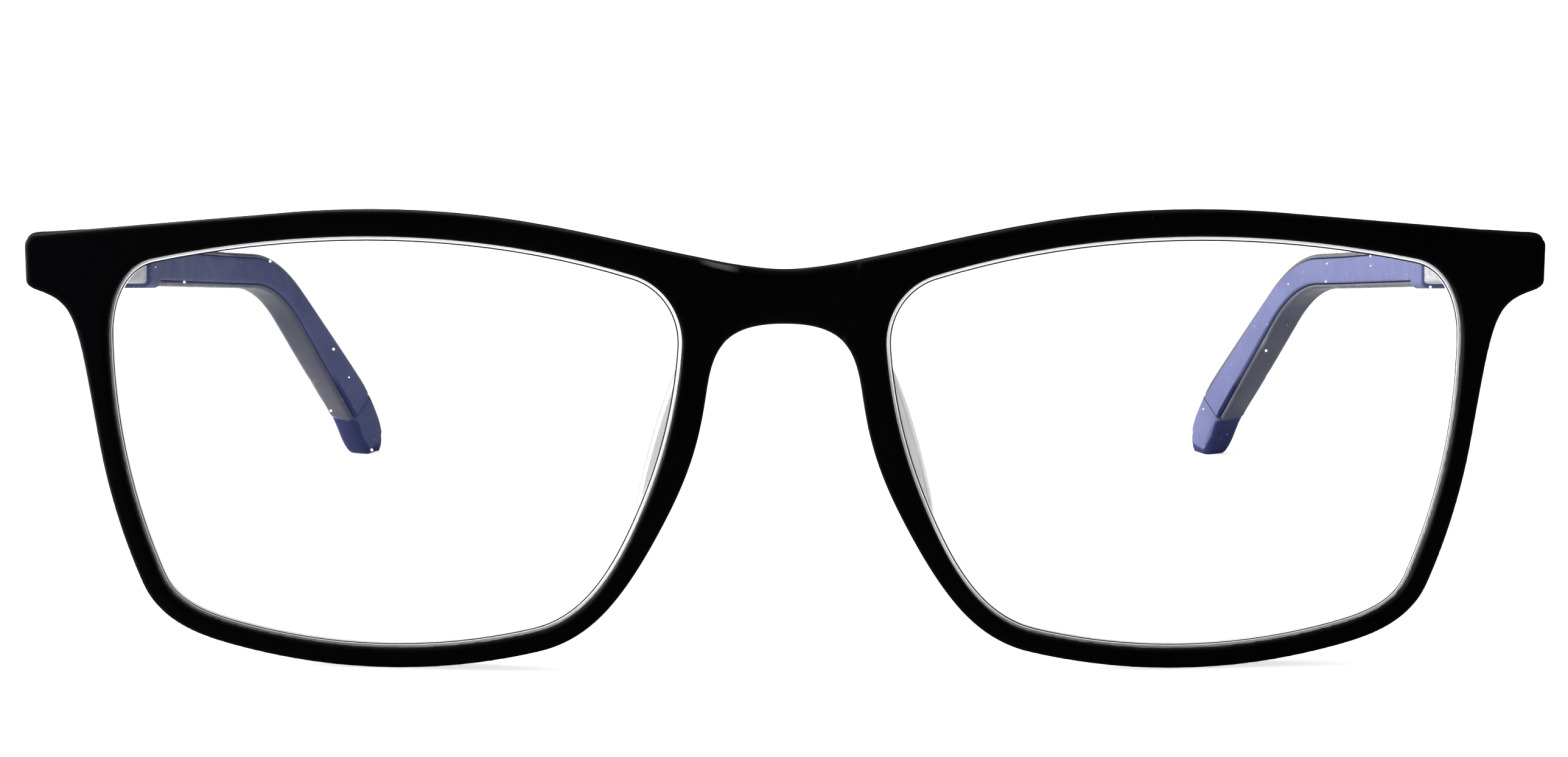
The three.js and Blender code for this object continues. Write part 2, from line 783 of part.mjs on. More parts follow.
const frameBlack = material(0x17181b, 0.55);
const lensClear = material(0xe8f0fa, 0.05, 0, { transparent: true, opacity: 0.25 });
const padSilicone = material(0xd8dadb, 0.5, 0, { transparent: true, opacity: 0.7 });
const satinMetal = material(0xb9bcc2, 0.35, 0.9);
const screwSteel = material(0xa5a8ad, 0.3, 0.95);
const springSteel = material(0x8c8f94, 0.35, 0.95);
const sleeveBlue = material(0x4b55a3, 0.5);
const coverBlack = material(0x1b1c20, 0.6);

// ---- Assembly ----

function part(name, geometry, finish) {
  const mesh = new THREE.Mesh(geometry, finish);
  mesh.name = name;
  return mesh;
}

const glasses = new THREE.Group();
glasses.add(part("front_frame", frontFrame(), frameBlack));

const onFront = { lens: [lens(), lensClear], nose_pad: [nosePad(), padSilicone] };
const onHinge = {
  hinge_leaf: [hingeLeaf(), satinMetal],
  leaf_screw: [leafScrew(), screwSteel],
  hinge_screw: [hingeScrew(), screwSteel],
  hinge_eye: [hingeEye(), satinMetal],
  housing_bush: [housingBush(), satinMetal],
  flex_spring: [flexSpring(), springSteel],
  spring_stop: [springStop(), screwSteel],
  spring_housing: [springHousing(), satinMetal],
  temple_arm: [templeArm(), satinMetal],
  temple_sleeve: [templeSleeve(), sleeveBlue],
  temple_cover: [templeCover(), coverBlack],
};

for (const side of ["left", "right"]) {
  const handed = (geometry) => (side === "left" ? mirror(geometry) : geometry);
  for (const [name, [geometry, finish]] of Object.entries(onFront)) {
    glasses.add(part(`${name}_${side}`, handed(geometry), finish));
  }
  const temple = new THREE.Group();
  temple.position.copy(hinge);
  temple.position.x *= side === "left" ? -1 : 1;
  temple.rotation.x = -slope;
  for (const [name, [geometry, finish]] of Object.entries(onHinge)) {
    temple.add(part(`${name}_${side}`, handed(geometry), finish));
  }
  glasses.add(temple);
}

// The origin is on the surface the glasses stand on, under the middle of their box.
glasses.updateMatrixWorld(true);
const extent = new THREE.Box3().setFromObject(glasses, true);
glasses.position.y = -(extent.min.y + extent.max.y) / 2;

export default glasses;
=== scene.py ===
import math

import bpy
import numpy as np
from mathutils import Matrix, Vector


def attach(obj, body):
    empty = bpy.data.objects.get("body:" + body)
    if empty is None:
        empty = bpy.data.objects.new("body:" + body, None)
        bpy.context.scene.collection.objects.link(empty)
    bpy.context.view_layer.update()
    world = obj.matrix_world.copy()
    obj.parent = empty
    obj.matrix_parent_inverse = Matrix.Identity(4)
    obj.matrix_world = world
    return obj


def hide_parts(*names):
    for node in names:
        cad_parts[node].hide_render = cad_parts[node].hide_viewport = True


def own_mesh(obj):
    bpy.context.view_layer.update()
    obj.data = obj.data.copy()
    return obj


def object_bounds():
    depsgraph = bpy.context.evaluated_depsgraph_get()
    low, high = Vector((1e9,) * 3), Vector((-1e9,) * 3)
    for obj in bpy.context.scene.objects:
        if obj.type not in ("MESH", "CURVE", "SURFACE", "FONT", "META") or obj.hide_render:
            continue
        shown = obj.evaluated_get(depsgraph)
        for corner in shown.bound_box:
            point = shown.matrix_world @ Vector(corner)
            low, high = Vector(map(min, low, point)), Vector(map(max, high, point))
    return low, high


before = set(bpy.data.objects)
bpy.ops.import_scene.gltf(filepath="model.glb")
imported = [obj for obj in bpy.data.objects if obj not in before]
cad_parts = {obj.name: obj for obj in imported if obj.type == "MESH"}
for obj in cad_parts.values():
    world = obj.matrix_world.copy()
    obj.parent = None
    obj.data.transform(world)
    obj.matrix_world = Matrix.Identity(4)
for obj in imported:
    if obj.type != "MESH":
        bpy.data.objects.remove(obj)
cad_low, cad_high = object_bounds()

# Blue light glasses. Sizes are in millimetres, as in the CAD source, and each mesh is scaled to
# metres when it is made. In the front's own frame the bridge starts at y = 0; FRONT_Y moves that
# frame to the row frame. Right-hand pieces are built, and left-hand ones mirror them.

import openvdb
from mathutils import Euler, Vector

MM = 0.001
FRONT_Y = cad_low.y / MM

OPENING_WIDTH = 53.8
OPENING_HEIGHT = 38.7
BRIDGE_GAP = 18.7
RIM_TOP = 2.35
RIM_SIDE = 1.95
RIM_BOTTOM = 1.8
FRONT_DEPTH = 3.6
FRONT_RADIUS = 390
BRIDGE_HEIGHT = 4.9
BRIDGE_DROP = 5.4
NOSE_WIDENING = 0.85
END_REACH = 7.85
END_HEIGHT = 5.1
END_DROP = 2.7
END_LENGTH = 12.5
END_WIDTH = 5.4
END_CORNER = 1
LIP_WIDTH = 1.55
LIP_TRIM = 0.3
END_EASE = 0.1
END_ROUND = 0.5
END_LEAN = 0.1
FRONT_ROUND = 0.5
BRIDGE_ROUND = 0.35
FACET_START = 5.8
FACET_SLOPE = 0.19
FACET_DEPTH = 0.32
# Reach of a curve at each end, as a share of what it spans.
NOSE_REACH = (0.42, 1.2)
FILLET_REACH = (0.84, 0.5)
BRIDGE_REACH = (0.4, 0.27)
CROWN_SPAN = (0.26, 0.22)
END_UNDER_TILT = 0.3
END_OVER_TILT = 0.1
# Across and up in half openings, and the heading in degrees.
OPENING_KNOTS = [
    (-0.999, 0.475, -86),
    (-0.863, -0.3, -67),
    (-0.482, -0.911, -14),
    (0.538, -0.921, 13),
    (0.837, -0.677, 67),
    (1, 0.492, 90.5),
    (0.83, 0.879, 168),
    (-0.835, 0.82, 197),
]
EYE_X = (BRIDGE_GAP + OPENING_WIDTH) / 2
EYE_Z = RIM_BOTTOM + OPENING_HEIGHT / 2
FRONT_TOP = RIM_BOTTOM + OPENING_HEIGHT + RIM_TOP
HALF_WIDTH = BRIDGE_GAP / 2 + OPENING_WIDTH + END_REACH
END_TOP = FRONT_TOP - END_DROP
BRIDGE_TOP = FRONT_TOP - BRIDGE_DROP

LENS_THICKNESS = 1.8
LENS_INSET = 0.9
LENS_FLANGE = 0.8
FLANGE_REACH = 0.5
LENS_GAP = 0.2
PAD_TOP = 9
PAD_BOTTOM = 10
PAD_INSET = 0.9
PAD_NOSE_BOW = 2.6
PAD_LENS_BOW = 1.3
PAD_DEPTH = 5.2
PAD_FLARE = 0.7
PAD_ROUND = 1.1
PAD_NARROWING = 0.25
LENS_BEVEL = 0.22
LENS_CRISP = 12

SLOPE = math.radians(6.5)
KNUCKLE_RADIUS = 1.4
KNUCKLE_GAP = 0.35
REAR_GAP = 0.4
KNUCKLE_HEIGHT = 1.15
EYE_HEIGHT = 1.5
PIN_RADIUS = 0.7
PIN_HEAD_RADIUS = 1.15
PIN_HEAD = 0.3
RUNNING_GAP = 0.08
SEAT_GAP = 0.15
LEAF_THICKNESS = 1
LEAF_LENGTH = 4.2
LEAF_SCREW_RADIUS = 0.5
LEAF_SCREW_HEAD = 0.85
LEAF_SCREW_SET = 1.7
LEAF_SCREW_HEAD_HEIGHT = 0.5
LEAF_SCREW_TIP = 0.9
LEAF_SCREW_SINK = 0.65
SCREW_DOME = 3.2
SCREW_SLOT = 0.12
METAL_ROUND = 0.12
NECK_TRIM = 0.25
STACK_TOP = EYE_HEIGHT / 2 + SEAT_GAP + KNUCKLE_HEIGHT
HINGE_INSET = LIP_WIDTH + KNUCKLE_RADIUS + KNUCKLE_GAP
HINGE_SETBACK = KNUCKLE_RADIUS + REAR_GAP
HOUSING_START = KNUCKLE_RADIUS + KNUCKLE_GAP
LEAF_SCREW_SEAT = HINGE_INSET - END_WIDTH + 0.1
HINGE_DROP = 0.55
HINGE = (HALF_WIDTH - HINGE_INSET, END_LENGTH + HINGE_SETBACK, END_TOP - END_HEIGHT / 2 - HINGE_DROP)
HOUSING_WIDTH = 3
HOUSING_HEIGHT = 3.4
HOUSING_LENGTH = 10.4
HOUSING_WALL = 1.4
HOUSING_ROUND = 0.42
HOUSING_END = HOUSING_START + HOUSING_LENGTH
GROOVE_SET = 1.3
GROOVE_RADIUS = 0.16
BORE_RADIUS = 1.1
SHAFT_RADIUS = 0.5
SHAFT_END = 9.77
BUSH_START = HOUSING_START + 0.1
BUSH_LENGTH = 1
SPRING_START = BUSH_START + BUSH_LENGTH + SEAT_GAP
SPRING_TURNS = 6
SPRING_WIRE = 0.16
SPRING_LENGTH = 5.2
SPRING_ROOM = 0.02
COIL_STEPS = 36
WIRE_SIDES = 10

TEMPLE_OFFSET = 1
HALF_THICK = 1.8
HALF_HIGH = 2.15
COLLAR_START = 24.8
COLLAR_LENGTH = 5
COLLAR_STEP = 0.25
COLLAR_CORNER = 0.8
COLLAR_ROUND = 0.25
SLEEVE_CORNER = 0.3
FOOT_CORNER = 1.0
FOOT_EASE = 0.3
BEND_START = 77
BEND_RADIUS = 24
DROP_ANGLE = math.radians(36)
TIP_RADIUS = 16
TIP_ANGLE = math.radians(26)
TIP_LENGTH = 4.5
TIP_TRIM = 1.1
TIP_LEAN = 11.2
LEAN_START = 66
LEAN_EASE = 0.12
FOOT_LENGTH = 9
TIP_TWIST = math.radians(26)
TIP_GROWTH = 0.2
COVER_WALL = 1
COVER_LIP = 0.48
COVER_REACH = 0.35
PLATE_THICKNESS = 1.15
PLATE_HEIGHT = 3.9
PLATE_ROUND = 0.35
CORE_HALF = (0.4, 0.85)
CORE_REACH = 3
COVER_CORNER = 0.75
LIP_ROUND = 0.38
COVER_END_ROUND = 0.06
TEMPLE_CRISP = 42
FOOT_ROUND = 1.75
FOOT_ROUND_LENGTH = 5.2
SLEEVE_OUT = HALF_THICK - COVER_WALL - SEAT_GAP
CORE_MIDDLE = (SLEEVE_OUT - HALF_THICK) / 2

FLOOR_GLOW = 0.75
FLOOR_REACH = 6.0
SURROUNDINGS_SEEN = 1.15
SENSOR_WIDTH = 36
FOCAL_LENGTH = 62.175466
CAMERA_SIDE = 0.00067
CAMERA_DISTANCE = 0.245
CAMERA_HEIGHT = 0.06248
CAMERA_TILT = 8.088
CAMERA_TURN = 0.161

FRONT_STEP = 0.22
METAL_STEP = 0.09
ARM_STEP = 0.12
SCREW_STEP = 0.06


# ---- Shapes as distance fields: negative inside, in millimetres ----


def smooth_min(a, b, reach):
    share = np.clip(0.5 + 0.5 * (b - a) / reach, 0, 1)
    return b * (1 - share) + a * share - reach * share * (1 - share)


def smoothstep(low, high, value):
    share = np.clip((value - low) / (high - low), 0, 1)
    return share * share * (3 - 2 * share)


def rounded(first, second, radius):
    """Where two distances are both negative, with its edge rounded."""
    a = first + radius
    b = second + radius
    return np.minimum(np.maximum(a, b), 0) + np.hypot(np.maximum(a, 0), np.maximum(b, 0)) - radius


def box_field(x, y, z, low, high, radius):
    spans = []
    for value, start, end in zip((x, y, z), low, high):
        spans.append(np.abs(value - (start + end) / 2) - (end - start) / 2 + radius)
    outside = np.sqrt(sum(np.maximum(span, 0) ** 2 for span in spans))
    inside = np.minimum(np.maximum(np.maximum(spans[0], spans[1]), spans[2]), 0)
    return outside + inside - radius


def disc_field(across, beside, along, size, start, end, radius=0.1):
    """A round bar: across and beside are measured from its axis."""
    side = np.hypot(across, beside) - size
    length = np.abs(along - (start + end) / 2) - (end - start) / 2
    return rounded(side, length, radius)


def grid(low, high, step):
    counts = [int(math.ceil((b - a) / step)) + 1 for a, b in zip(low, high)]
    axes = [a + step * np.arange(n, dtype=np.float32) for a, n in zip(low, counts)]
    return axes[0][:, None, None], axes[1][None, :, None], axes[2][None, None, :]


def surface(distances, low, step):
    """Vertices and faces of the surface where the distance is nothing."""
    band = 3 * step
    volume = openvdb.FloatGrid(band)
    volume.copyFromArray(np.ascontiguousarray(np.clip(distances, -band, band), dtype=np.float32))
    volume.transform = openvdb.createLinearTransform(voxelSize=step)
    points, triangles, quads = volume.convertToPolygons(isovalue=0.0, adaptivity=0.0)
    faces = [tuple(face) for face in quads.tolist()] + [tuple(face) for face in triangles.tolist()]
    return points + np.array(low), faces


# ---- Outlines, seen from the front ----


def bezier(points, share):
    a, b, c, d = (np.array(p, float) for p in points)
    t = np.asarray(share, float)[:, None]
    return a * (1 - t) ** 3 + 3 * b * t * (1 - t) ** 2 + 3 * c * t**2 * (1 - t) + d * t**3


def sweep(start, leave, leave_reach, end, arrive, arrive_reach):
    start = np.array(start, float)
    end = np.array(end, float)
    return start, start + np.array(leave) * leave_reach, end - np.array(arrive) * arrive_reach, end


def arc(start, leave, end, arrive):
    turn = math.acos(max(-1.0, min(1.0, float(np.dot(leave, arrive)))))
    reach = np.linalg.norm(np.subtract(end, start)) / (3 * math.cos(turn / 4) ** 2)
    return sweep(start, leave, reach, end, arrive, reach)


def heading(angle):
    return np.array([math.cos(angle), math.sin(angle)])


def opening(steps):
    """Points round the right lens opening and their outward normals."""
    knots = []
    for across, up, angle in OPENING_KNOTS:
        at = (EYE_X + across * OPENING_WIDTH / 2, EYE_Z + up * OPENING_HEIGHT / 2)
        knots.append((np.array(at), heading(math.radians(angle))))
    shares = np.arange(steps) / steps
    points = []
    for i, (at, leave) in enumerate(knots):
        end, arrive = knots[(i + 1) % len(knots)]
        points.append(bezier(arc(at, leave, end, arrive), shares))
    points = np.concatenate(points)
    along = np.roll(points, -1, 0) - np.roll(points, 1, 0)
    along /= np.linalg.norm(along, axis=1)[:, None]
    return points, np.stack([along[:, 1], -along[:, 0]], 1)


def half_front(steps=24):
    """Right half of the front's outline, from under the bridge round to its top."""
    points, normals = opening(steps)
    up = normals[:, 1]
    width = RIM_SIDE + (RIM_TOP - RIM_SIDE) * np.maximum(0, up)
    width += (RIM_BOTTOM - RIM_SIDE) * np.maximum(0, -up)
    outer = points + normals * width[:, None]
    beside = NOSE_WIDENING * np.maximum(0, -normals[:, 0]) * smoothstep(EYE_Z - 14, EYE_Z + 1, points[:, 1])
    lower = outer + normals * beside[:, None]
    lower = lower[lower[:, 1] < EYE_Z + 1]
    high = outer[:, 1] > EYE_Z
    across = (outer[:, 0] - EYE_X) / OPENING_WIDTH
    wide = (across < CROWN_SPAN[1]) & (across > -CROWN_SPAN[0])
    crown = outer[high & wide]

    def unit(a, b):
        return (b - a) / np.linalg.norm(b - a)

    right = np.array([1, 0])
    upward = np.array([0, 1])
    under = np.array([HALF_WIDTH - END_CORNER, END_TOP - END_HEIGHT])
    over = np.array([HALF_WIDTH - END_CORNER, END_TOP])
    under_heading = heading(END_UNDER_TILT)
    over_heading = heading(math.pi - END_OVER_TILT)
    bridge_under = (0, BRIDGE_TOP - BRIDGE_HEIGHT)
    nose_heading = unit(lower[0], lower[1])
    reach = (BRIDGE_GAP * NOSE_REACH[0], BRIDGE_HEIGHT * NOSE_REACH[1])
    nose = sweep(bridge_under, right, reach[0], lower[0], nose_heading, reach[1])
    rise = under[1] - lower[-1][1]
    fillet_heading = unit(lower[-2], lower[-1])
    reach = (rise * FILLET_REACH[0], END_REACH * FILLET_REACH[1])
    fillet = sweep(lower[-1], fillet_heading, reach[0], under, under_heading, reach[1])
    low_corner = arc(under, under_heading, under + END_CORNER, upward)
    high_corner = arc(over + (END_CORNER, -END_CORNER), upward, over, over_heading)
    brow = arc(over, over_heading, crown[0], unit(crown[0], crown[1]))
    crown_heading = unit(crown[-2], crown[-1])
    bridge_over = (0, BRIDGE_TOP)
    reach = (BRIDGE_GAP * BRIDGE_REACH[0], BRIDGE_GAP * BRIDGE_REACH[1])
    bridge = sweep(crown[-1], crown_heading, reach[0], bridge_over, -right, reach[1])

    def sampled(curve, count):
        return bezier(curve, np.arange(1, count) / count)

    parts = [[bridge_under], sampled(nose, 30), lower, sampled(fillet, 30), [under]]
    parts += [sampled(low_corner, 8), sampled(high_corner, 8), [over], sampled(brow, 20)]
    parts += [crown, sampled(bridge, 30), [bridge_over]]
    return np.concatenate([np.asarray(part, float) for part in parts])


def sag(x):
    return FRONT_RADIUS - np.sqrt(FRONT_RADIUS**2 - np.square(x))


def distance_to(polygon, xs, zs):
    """Signed distance from a closed outline on a grid, negative inside."""
    px, pz = np.meshgrid(xs, zs, indexing="ij")
    nearest = np.full(px.shape, 1e9)
    crossings = np.zeros(px.shape, int)
    for (ax, az), (bx, bz) in zip(polygon, np.roll(polygon, -1, 0)):
        dx = bx - ax
        dz = bz - az
        length = dx * dx + dz * dz
        if length < 1e-12:
            continue
        share = np.clip(((px - ax) * dx + (pz - az) * dz) / length, 0, 1)
        nearest = np.minimum(nearest, (px - ax - share * dx) ** 2 + (pz - az - share * dz) ** 2)
        if az != bz:
            spans = (az > pz) != (bz > pz)
            crossings += spans & (px < ax + (pz - az) * dx / dz)
    return np.where(crossings % 2 == 1, -1, 1) * np.sqrt(nearest)


# ---- Making pieces ----


def piece(name, points, faces, body, nodes, materials, face_materials=None):
    """A smooth mesh in the row frame, from points in metres, that stands for CAD nodes."""
    mesh = bpy.data.meshes.new(name)
    mesh.from_pydata(np.asarray(points, float).tolist(), [], faces)
    for material in materials:
        mesh.materials.append(material)
    if face_materials is not None:
        mesh.polygons.foreach_set("material_index", face_materials)
    mesh.polygons.foreach_set("use_smooth", [True] * len(mesh.polygons))
    mesh.update()
    made = bpy.data.objects.new(name, mesh)
    bpy.context.scene.collection.objects.link(made)
    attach(made, body)
    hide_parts(*nodes)
    return made


def facing_out(points, faces):
    """The faces, turned round if they face inwards."""
    corners = np.array([face[:3] for face in faces])
    centred = points - points.mean(0)
    a, b, c = (centred[corners[:, i]] for i in range(3))
    if np.einsum("ij,ij->i", a, np.cross(b, c)).sum() < 0:
        return [tuple(reversed(face)) for face in faces]
    return faces


def mirrored(points, faces):
    return points * (-1, 1, 1), [tuple(reversed(face)) for face in faces]


def in_row(points):
    """From the front's own frame in millimetres to the row frame in metres."""
    return (points + (0, FRONT_Y, 0)) * MM


def at_hinge(points):
    """From the right hinge's frame to the front's own."""
    c = math.cos(SLOPE)
    s = math.sin(SLOPE)
    x, y, z = points.T
    return np.stack([x + HINGE[0], y * c + z * s + HINGE[1], z * c - y * s + HINGE[2]], 1)


def on_both_sides(name, points, faces, body, materials, face_materials=None):
    """A right-hand piece and its mirror image. The node and body names end in the side."""
    made = []
    for side in ("right", "left"):
        if side == "left":
            points, faces = mirrored(points, faces)
        own_body = body if body == "front" else f"{body}_{side}"
        node = f"{name}_{side}"
        placed = in_row(points)
        part = piece(f"{node}_look", placed, faces, own_body, [node], materials, face_materials)
        made.append(part)
    return made


# ---- Front ----


def end_block_field(x, y, z):
    low = END_TOP - END_HEIGHT + END_EASE
    high = END_TOP - END_EASE
    inner = HALF_WIDTH - END_WIDTH
    start = float(sag(HALF_WIDTH)) + FRONT_DEPTH / 2
    lip_end = HINGE[1] + KNUCKLE_RADIUS - LIP_TRIM
    lean = z + END_LEAN * np.maximum(y - start, 0) * smoothstep(low, high, z)
    block_high = (HALF_WIDTH, END_LENGTH, high)
    block = box_field(x, y, lean, (inner, start, low), block_high, END_ROUND)
    lip_low = (HALF_WIDTH - LIP_WIDTH, start, low)
    lip = box_field(x, y, lean, lip_low, (HALF_WIDTH, lip_end, high), END_ROUND)
    return smooth_min(block, lip, 0.25)


def leaf_cuts_field(x, y, z):
    """Slot for the hinge leaf and recess for its screw, in the front's frame."""
    c = math.cos(SLOPE)
    s = math.sin(SLOPE)
    across = x - HINGE[0]
    along = (y - HINGE[1]) * c - (z - HINGE[2]) * s
    up = (y - HINGE[1]) * s + (z - HINGE[2]) * c
    half = LEAF_THICKNESS / 2 + SEAT_GAP
    back = -HINGE_SETBACK - LEAF_LENGTH - SEAT_GAP
    tall = STACK_TOP + SEAT_GAP
    slot = box_field(across, along, up, (-half, back, -tall), (half, 1 - HINGE_SETBACK, tall), 0.05)
    set_at = along + HINGE_SETBACK + LEAF_SCREW_SET
    wide = LEAF_SCREW_HEAD + RUNNING_GAP
    ends = (LEAF_SCREW_SEAT - 2, LEAF_SCREW_SEAT + LEAF_SCREW_SINK)
    recess = disc_field(set_at, up, across, wide, *ends, 0.02)
    return np.minimum(slot, recess)


def front_field(x, y, z):
    """The moulded front on a grid of its right half."""
    half = half_front()
    other = (half * (-1, 1))[::-1]
    whole = np.concatenate([half, other[1:-1]])
    lens_edge, _ = opening(24)
    xs = x[:, 0, 0]
    zs = z[0, 0, :]
    from_opening = distance_to(lens_edge, xs, zs)[:, None, :].astype(np.float32)
    outline = np.maximum(distance_to(whole, xs, zs)[:, None, :], -from_opening).astype(np.float32)
    depth = y - sag(x)
    facet = FACET_START + FACET_SLOPE * (z - (BRIDGE_TOP - BRIDGE_HEIGHT))
    recess = FACET_DEPTH * (1 - smoothstep(facet - 0.3, facet + 0.3, x))
    middle = (FRONT_DEPTH + recess) / 2
    slab = np.abs(depth - middle) - (FRONT_DEPTH - recess) / 2
    edge = FRONT_ROUND + BRIDGE_ROUND * (1 - smoothstep(5, 8, x))
    body = rounded(outline, slab, edge)
    body = smooth_min(body, end_block_field(x, y, z), 0.9)
    groove_middle = LENS_INSET + LENS_THICKNESS / 2
    groove_half = LENS_FLANGE / 2 + LENS_GAP
    groove_reach = from_opening - FLANGE_REACH - LENS_GAP
    groove = np.maximum(groove_reach, np.abs(depth - groove_middle) - groove_half)
    return np.maximum(np.maximum(body, -groove), -leaf_cuts_field(x, y, z))


def build_front(material):
    step = FRONT_STEP
    low = (0.0, -3 * step, -4 * step)
    high = (HALF_WIDTH + 4 * step, HINGE[1] + KNUCKLE_RADIUS + 2 * step, FRONT_TOP + 4 * step)
    right = front_field(*grid(low, high, step))
    whole = np.concatenate([right[:0:-1], right], 0)
    points, faces = surface(whole, (-step * (len(right) - 1), low[1], low[2]), step)
    faces = facing_out(points, faces)
    piece("front_look", in_row(points), faces, "front", ["front_frame"], [material])


# ---- Lenses and pads ----


def build_lenses(clear, ground, line):
    """Each lens is a bent plate with bevelled, ground edges and a rib that sits in the groove."""
    edge, normals = opening(20)
    centre = np.array([EYE_X, EYE_Z])
    rear = LENS_INSET + LENS_THICKNESS
    middle = LENS_INSET + LENS_THICKNESS / 2
    rib = LENS_FLANGE / 2
    inside = -LENS_GAP
    bevel = LENS_BEVEL
    rings = []
    shares = (0.02, 0.2, 0.4, 0.6, 0.75, 0.88, 0.96)
    rim = edge + normals * (inside - bevel)
    for share in shares:
        rings.append((centre + (rim - centre) * share, LENS_INSET))
    profile = [
        (inside - bevel, LENS_INSET),
        (inside - bevel * 0.45, LENS_INSET + bevel * 0.3),
        (inside - bevel * 0.2, LENS_INSET + bevel * 0.5),
        (inside, LENS_INSET + bevel),
        (inside, middle - rib),
        (FLANGE_REACH, middle - rib),
        (FLANGE_REACH, middle + rib),
        (inside, middle + rib),
        (inside, rear - bevel),
        (inside - bevel * 0.3, rear - bevel * 0.3),
        (inside - bevel, rear),
    ]
    for reach, depth in profile:
        rings.append((edge + normals * reach, depth))
    for share in reversed(shares):
        rings.append((centre + (rim - centre) * share, rear))
    count = len(edge)
    points = []
    for outline, depth in rings:
        points.append(np.stack([outline[:, 0], depth + sag(outline[:, 0]), outline[:, 1]], 1))
    points = np.concatenate(points)
    faces = facing_out(points, tube_faces(len(rings), count))
    face_materials = []
    first_ground = len(shares)
    last_ground = first_ground + len(profile) - 2
    for ring in range(len(rings) - 1):
        # The first bevel ring takes the painted reflection of the groove.
        kind = 2 if ring == first_ground else int(first_ground < ring <= last_ground)
        face_materials += [kind] * count
    face_materials += [0, 0]
    materials = [clear, ground, line]
    for lens in on_both_sides("lens", points, faces, "front", materials, face_materials):
        mark_sharp(lens, LENS_CRISP)


def mark_sharp(made, degrees):
    """Edges sharper than an angle stay crisp."""
    mesh = made.data
    mesh.update()
    normals = np.zeros(len(mesh.polygons) * 3)
    mesh.polygons.foreach_get("normal", normals)
    normals = normals.reshape(-1, 3)
    loops = np.zeros(len(mesh.loops), int)
    mesh.loops.foreach_get("edge_index", loops)
    sides = [[] for _ in range(len(mesh.edges))]
    for polygon in mesh.polygons:
        for loop in polygon.loop_indices:
            sides[loops[loop]].append(polygon.index)
    limit = math.cos(math.radians(degrees))
    for found, edge in zip(sides, mesh.edges):
        edge.use_edge_sharp = len(found) == 2 and float(normals[found[0]] @ normals[found[1]]) < limit


def nose_side_at(height):
    points, normals = opening(8)
    side = (normals[:, 0] < 0) & (points[:, 0] < EYE_X) & (normals[:, 1] < 0.3)
    found = points[side]
    return found[np.argmin(np.abs(found[:, 1] - height))]


def build_pads(material):
    """Soft pad behind the nose side of each rim, wider towards the lens as it goes back."""
    high = nose_side_at(EYE_Z + PAD_TOP)
    low = nose_side_at(EYE_Z - PAD_BOTTOM)
    lensward = np.array([high[1] - low[1], low[0] - high[0]])
    lensward /= np.linalg.norm(lensward)
    top = high - lensward * PAD_INSET
    bottom = low - lensward * PAD_INSET

    def bowed(start, end, bow):
        first = start + (end - start) * 0.08 + lensward * bow
        second = start + (end - start) * 0.92 + lensward * bow
        return bezier((start, first, second, end), np.arange(24) / 24)

    outline = np.concatenate([bowed(top, bottom, -PAD_NOSE_BOW), bowed(bottom, top, PAD_LENS_BOW)])
    middle = (top + bottom) / 2
    start = FRONT_DEPTH + float(sag(middle[0] + PAD_LENS_BOW)) + SEAT_GAP
    rings = [(0, 0.0), (0.86, 0.0), (0.96, 0.12), (1.0, 0.5)]
    rings += [(1.0, depth) for depth in np.linspace(1, PAD_DEPTH - PAD_ROUND, 7)]
    for angle in np.radians([15, 30, 45, 60, 75, 90]):
        depth = PAD_DEPTH - PAD_ROUND + PAD_ROUND * math.sin(angle)
        rings.append((1 - 0.34 * (1 - math.cos(angle)), depth))
    rings.append((0, PAD_DEPTH))
    points = []
    for size, depth in rings:
        back = depth / PAD_DEPTH
        shrink = (1 - PAD_NARROWING * back**2) * max(size, 0.03)
        placed = middle + (outline - middle) * shrink
        y = np.full(len(outline), depth + start)
        points.append(np.stack([placed[:, 0] + PAD_FLARE * back, y, placed[:, 1]], 1))
    points = np.concatenate(points)
    faces = tube_faces(len(rings), len(outline))
    faces = facing_out(points, faces)
    on_both_sides("nose_pad", points, faces, "front", [material])


def tube_faces(rings, count):
    """Quads between rings of points, with a cap on each end."""
    faces = []
    for ring in range(rings - 1):
        for i in range(count):
            j = (i + 1) % count
            faces.append((ring * count + i, ring * count + j, (ring + 1) * count + j, (ring + 1) * count + i))
    faces.append(tuple(reversed(range(count))))
    last = (rings - 1) * count
    faces.append(tuple(range(last, last + count)))
    return faces


# ---- Hinge, in its own frame: axis along Z, temple along Y ----


def build_from_field(name, field, low, high, body, material, step):
    margin = 3 * step
    start = tuple(a - margin for a in low)
    end = tuple(b + margin for b in high)
    points, faces = surface(field(*grid(start, end, step)), start, step)
    faces = facing_out(points, faces)
    on_both_sides(name, at_hinge(points), faces, body, [material])


def leaf_field(x, y, z):
    face = -HINGE_SETBACK
    half = LEAF_THICKNESS / 2
    low = (-half, face - LEAF_LENGTH, -STACK_TOP)
    shape = box_field(x, y, z, low, (half, face + SEAT_GAP, STACK_TOP), METAL_ROUND)
    start = EYE_HEIGHT / 2 + SEAT_GAP
    up = np.abs(z)
    knuckle = disc_field(x, y, up, KNUCKLE_RADIUS, start, STACK_TOP, METAL_ROUND)
    web = box_field(x, y, up, (-half, face - 0.3, start), (half, 0.3, STACK_TOP), 0.1)
    shape = smooth_min(shape, smooth_min(knuckle, web, 0.15), 0.15)
    bore = np.hypot(x, y) - PIN_RADIUS - RUNNING_GAP
    hole = np.hypot(y - face + LEAF_SCREW_SET, z) - LEAF_SCREW_RADIUS - RUNNING_GAP
    return np.maximum(np.maximum(shape, -bore), -hole)


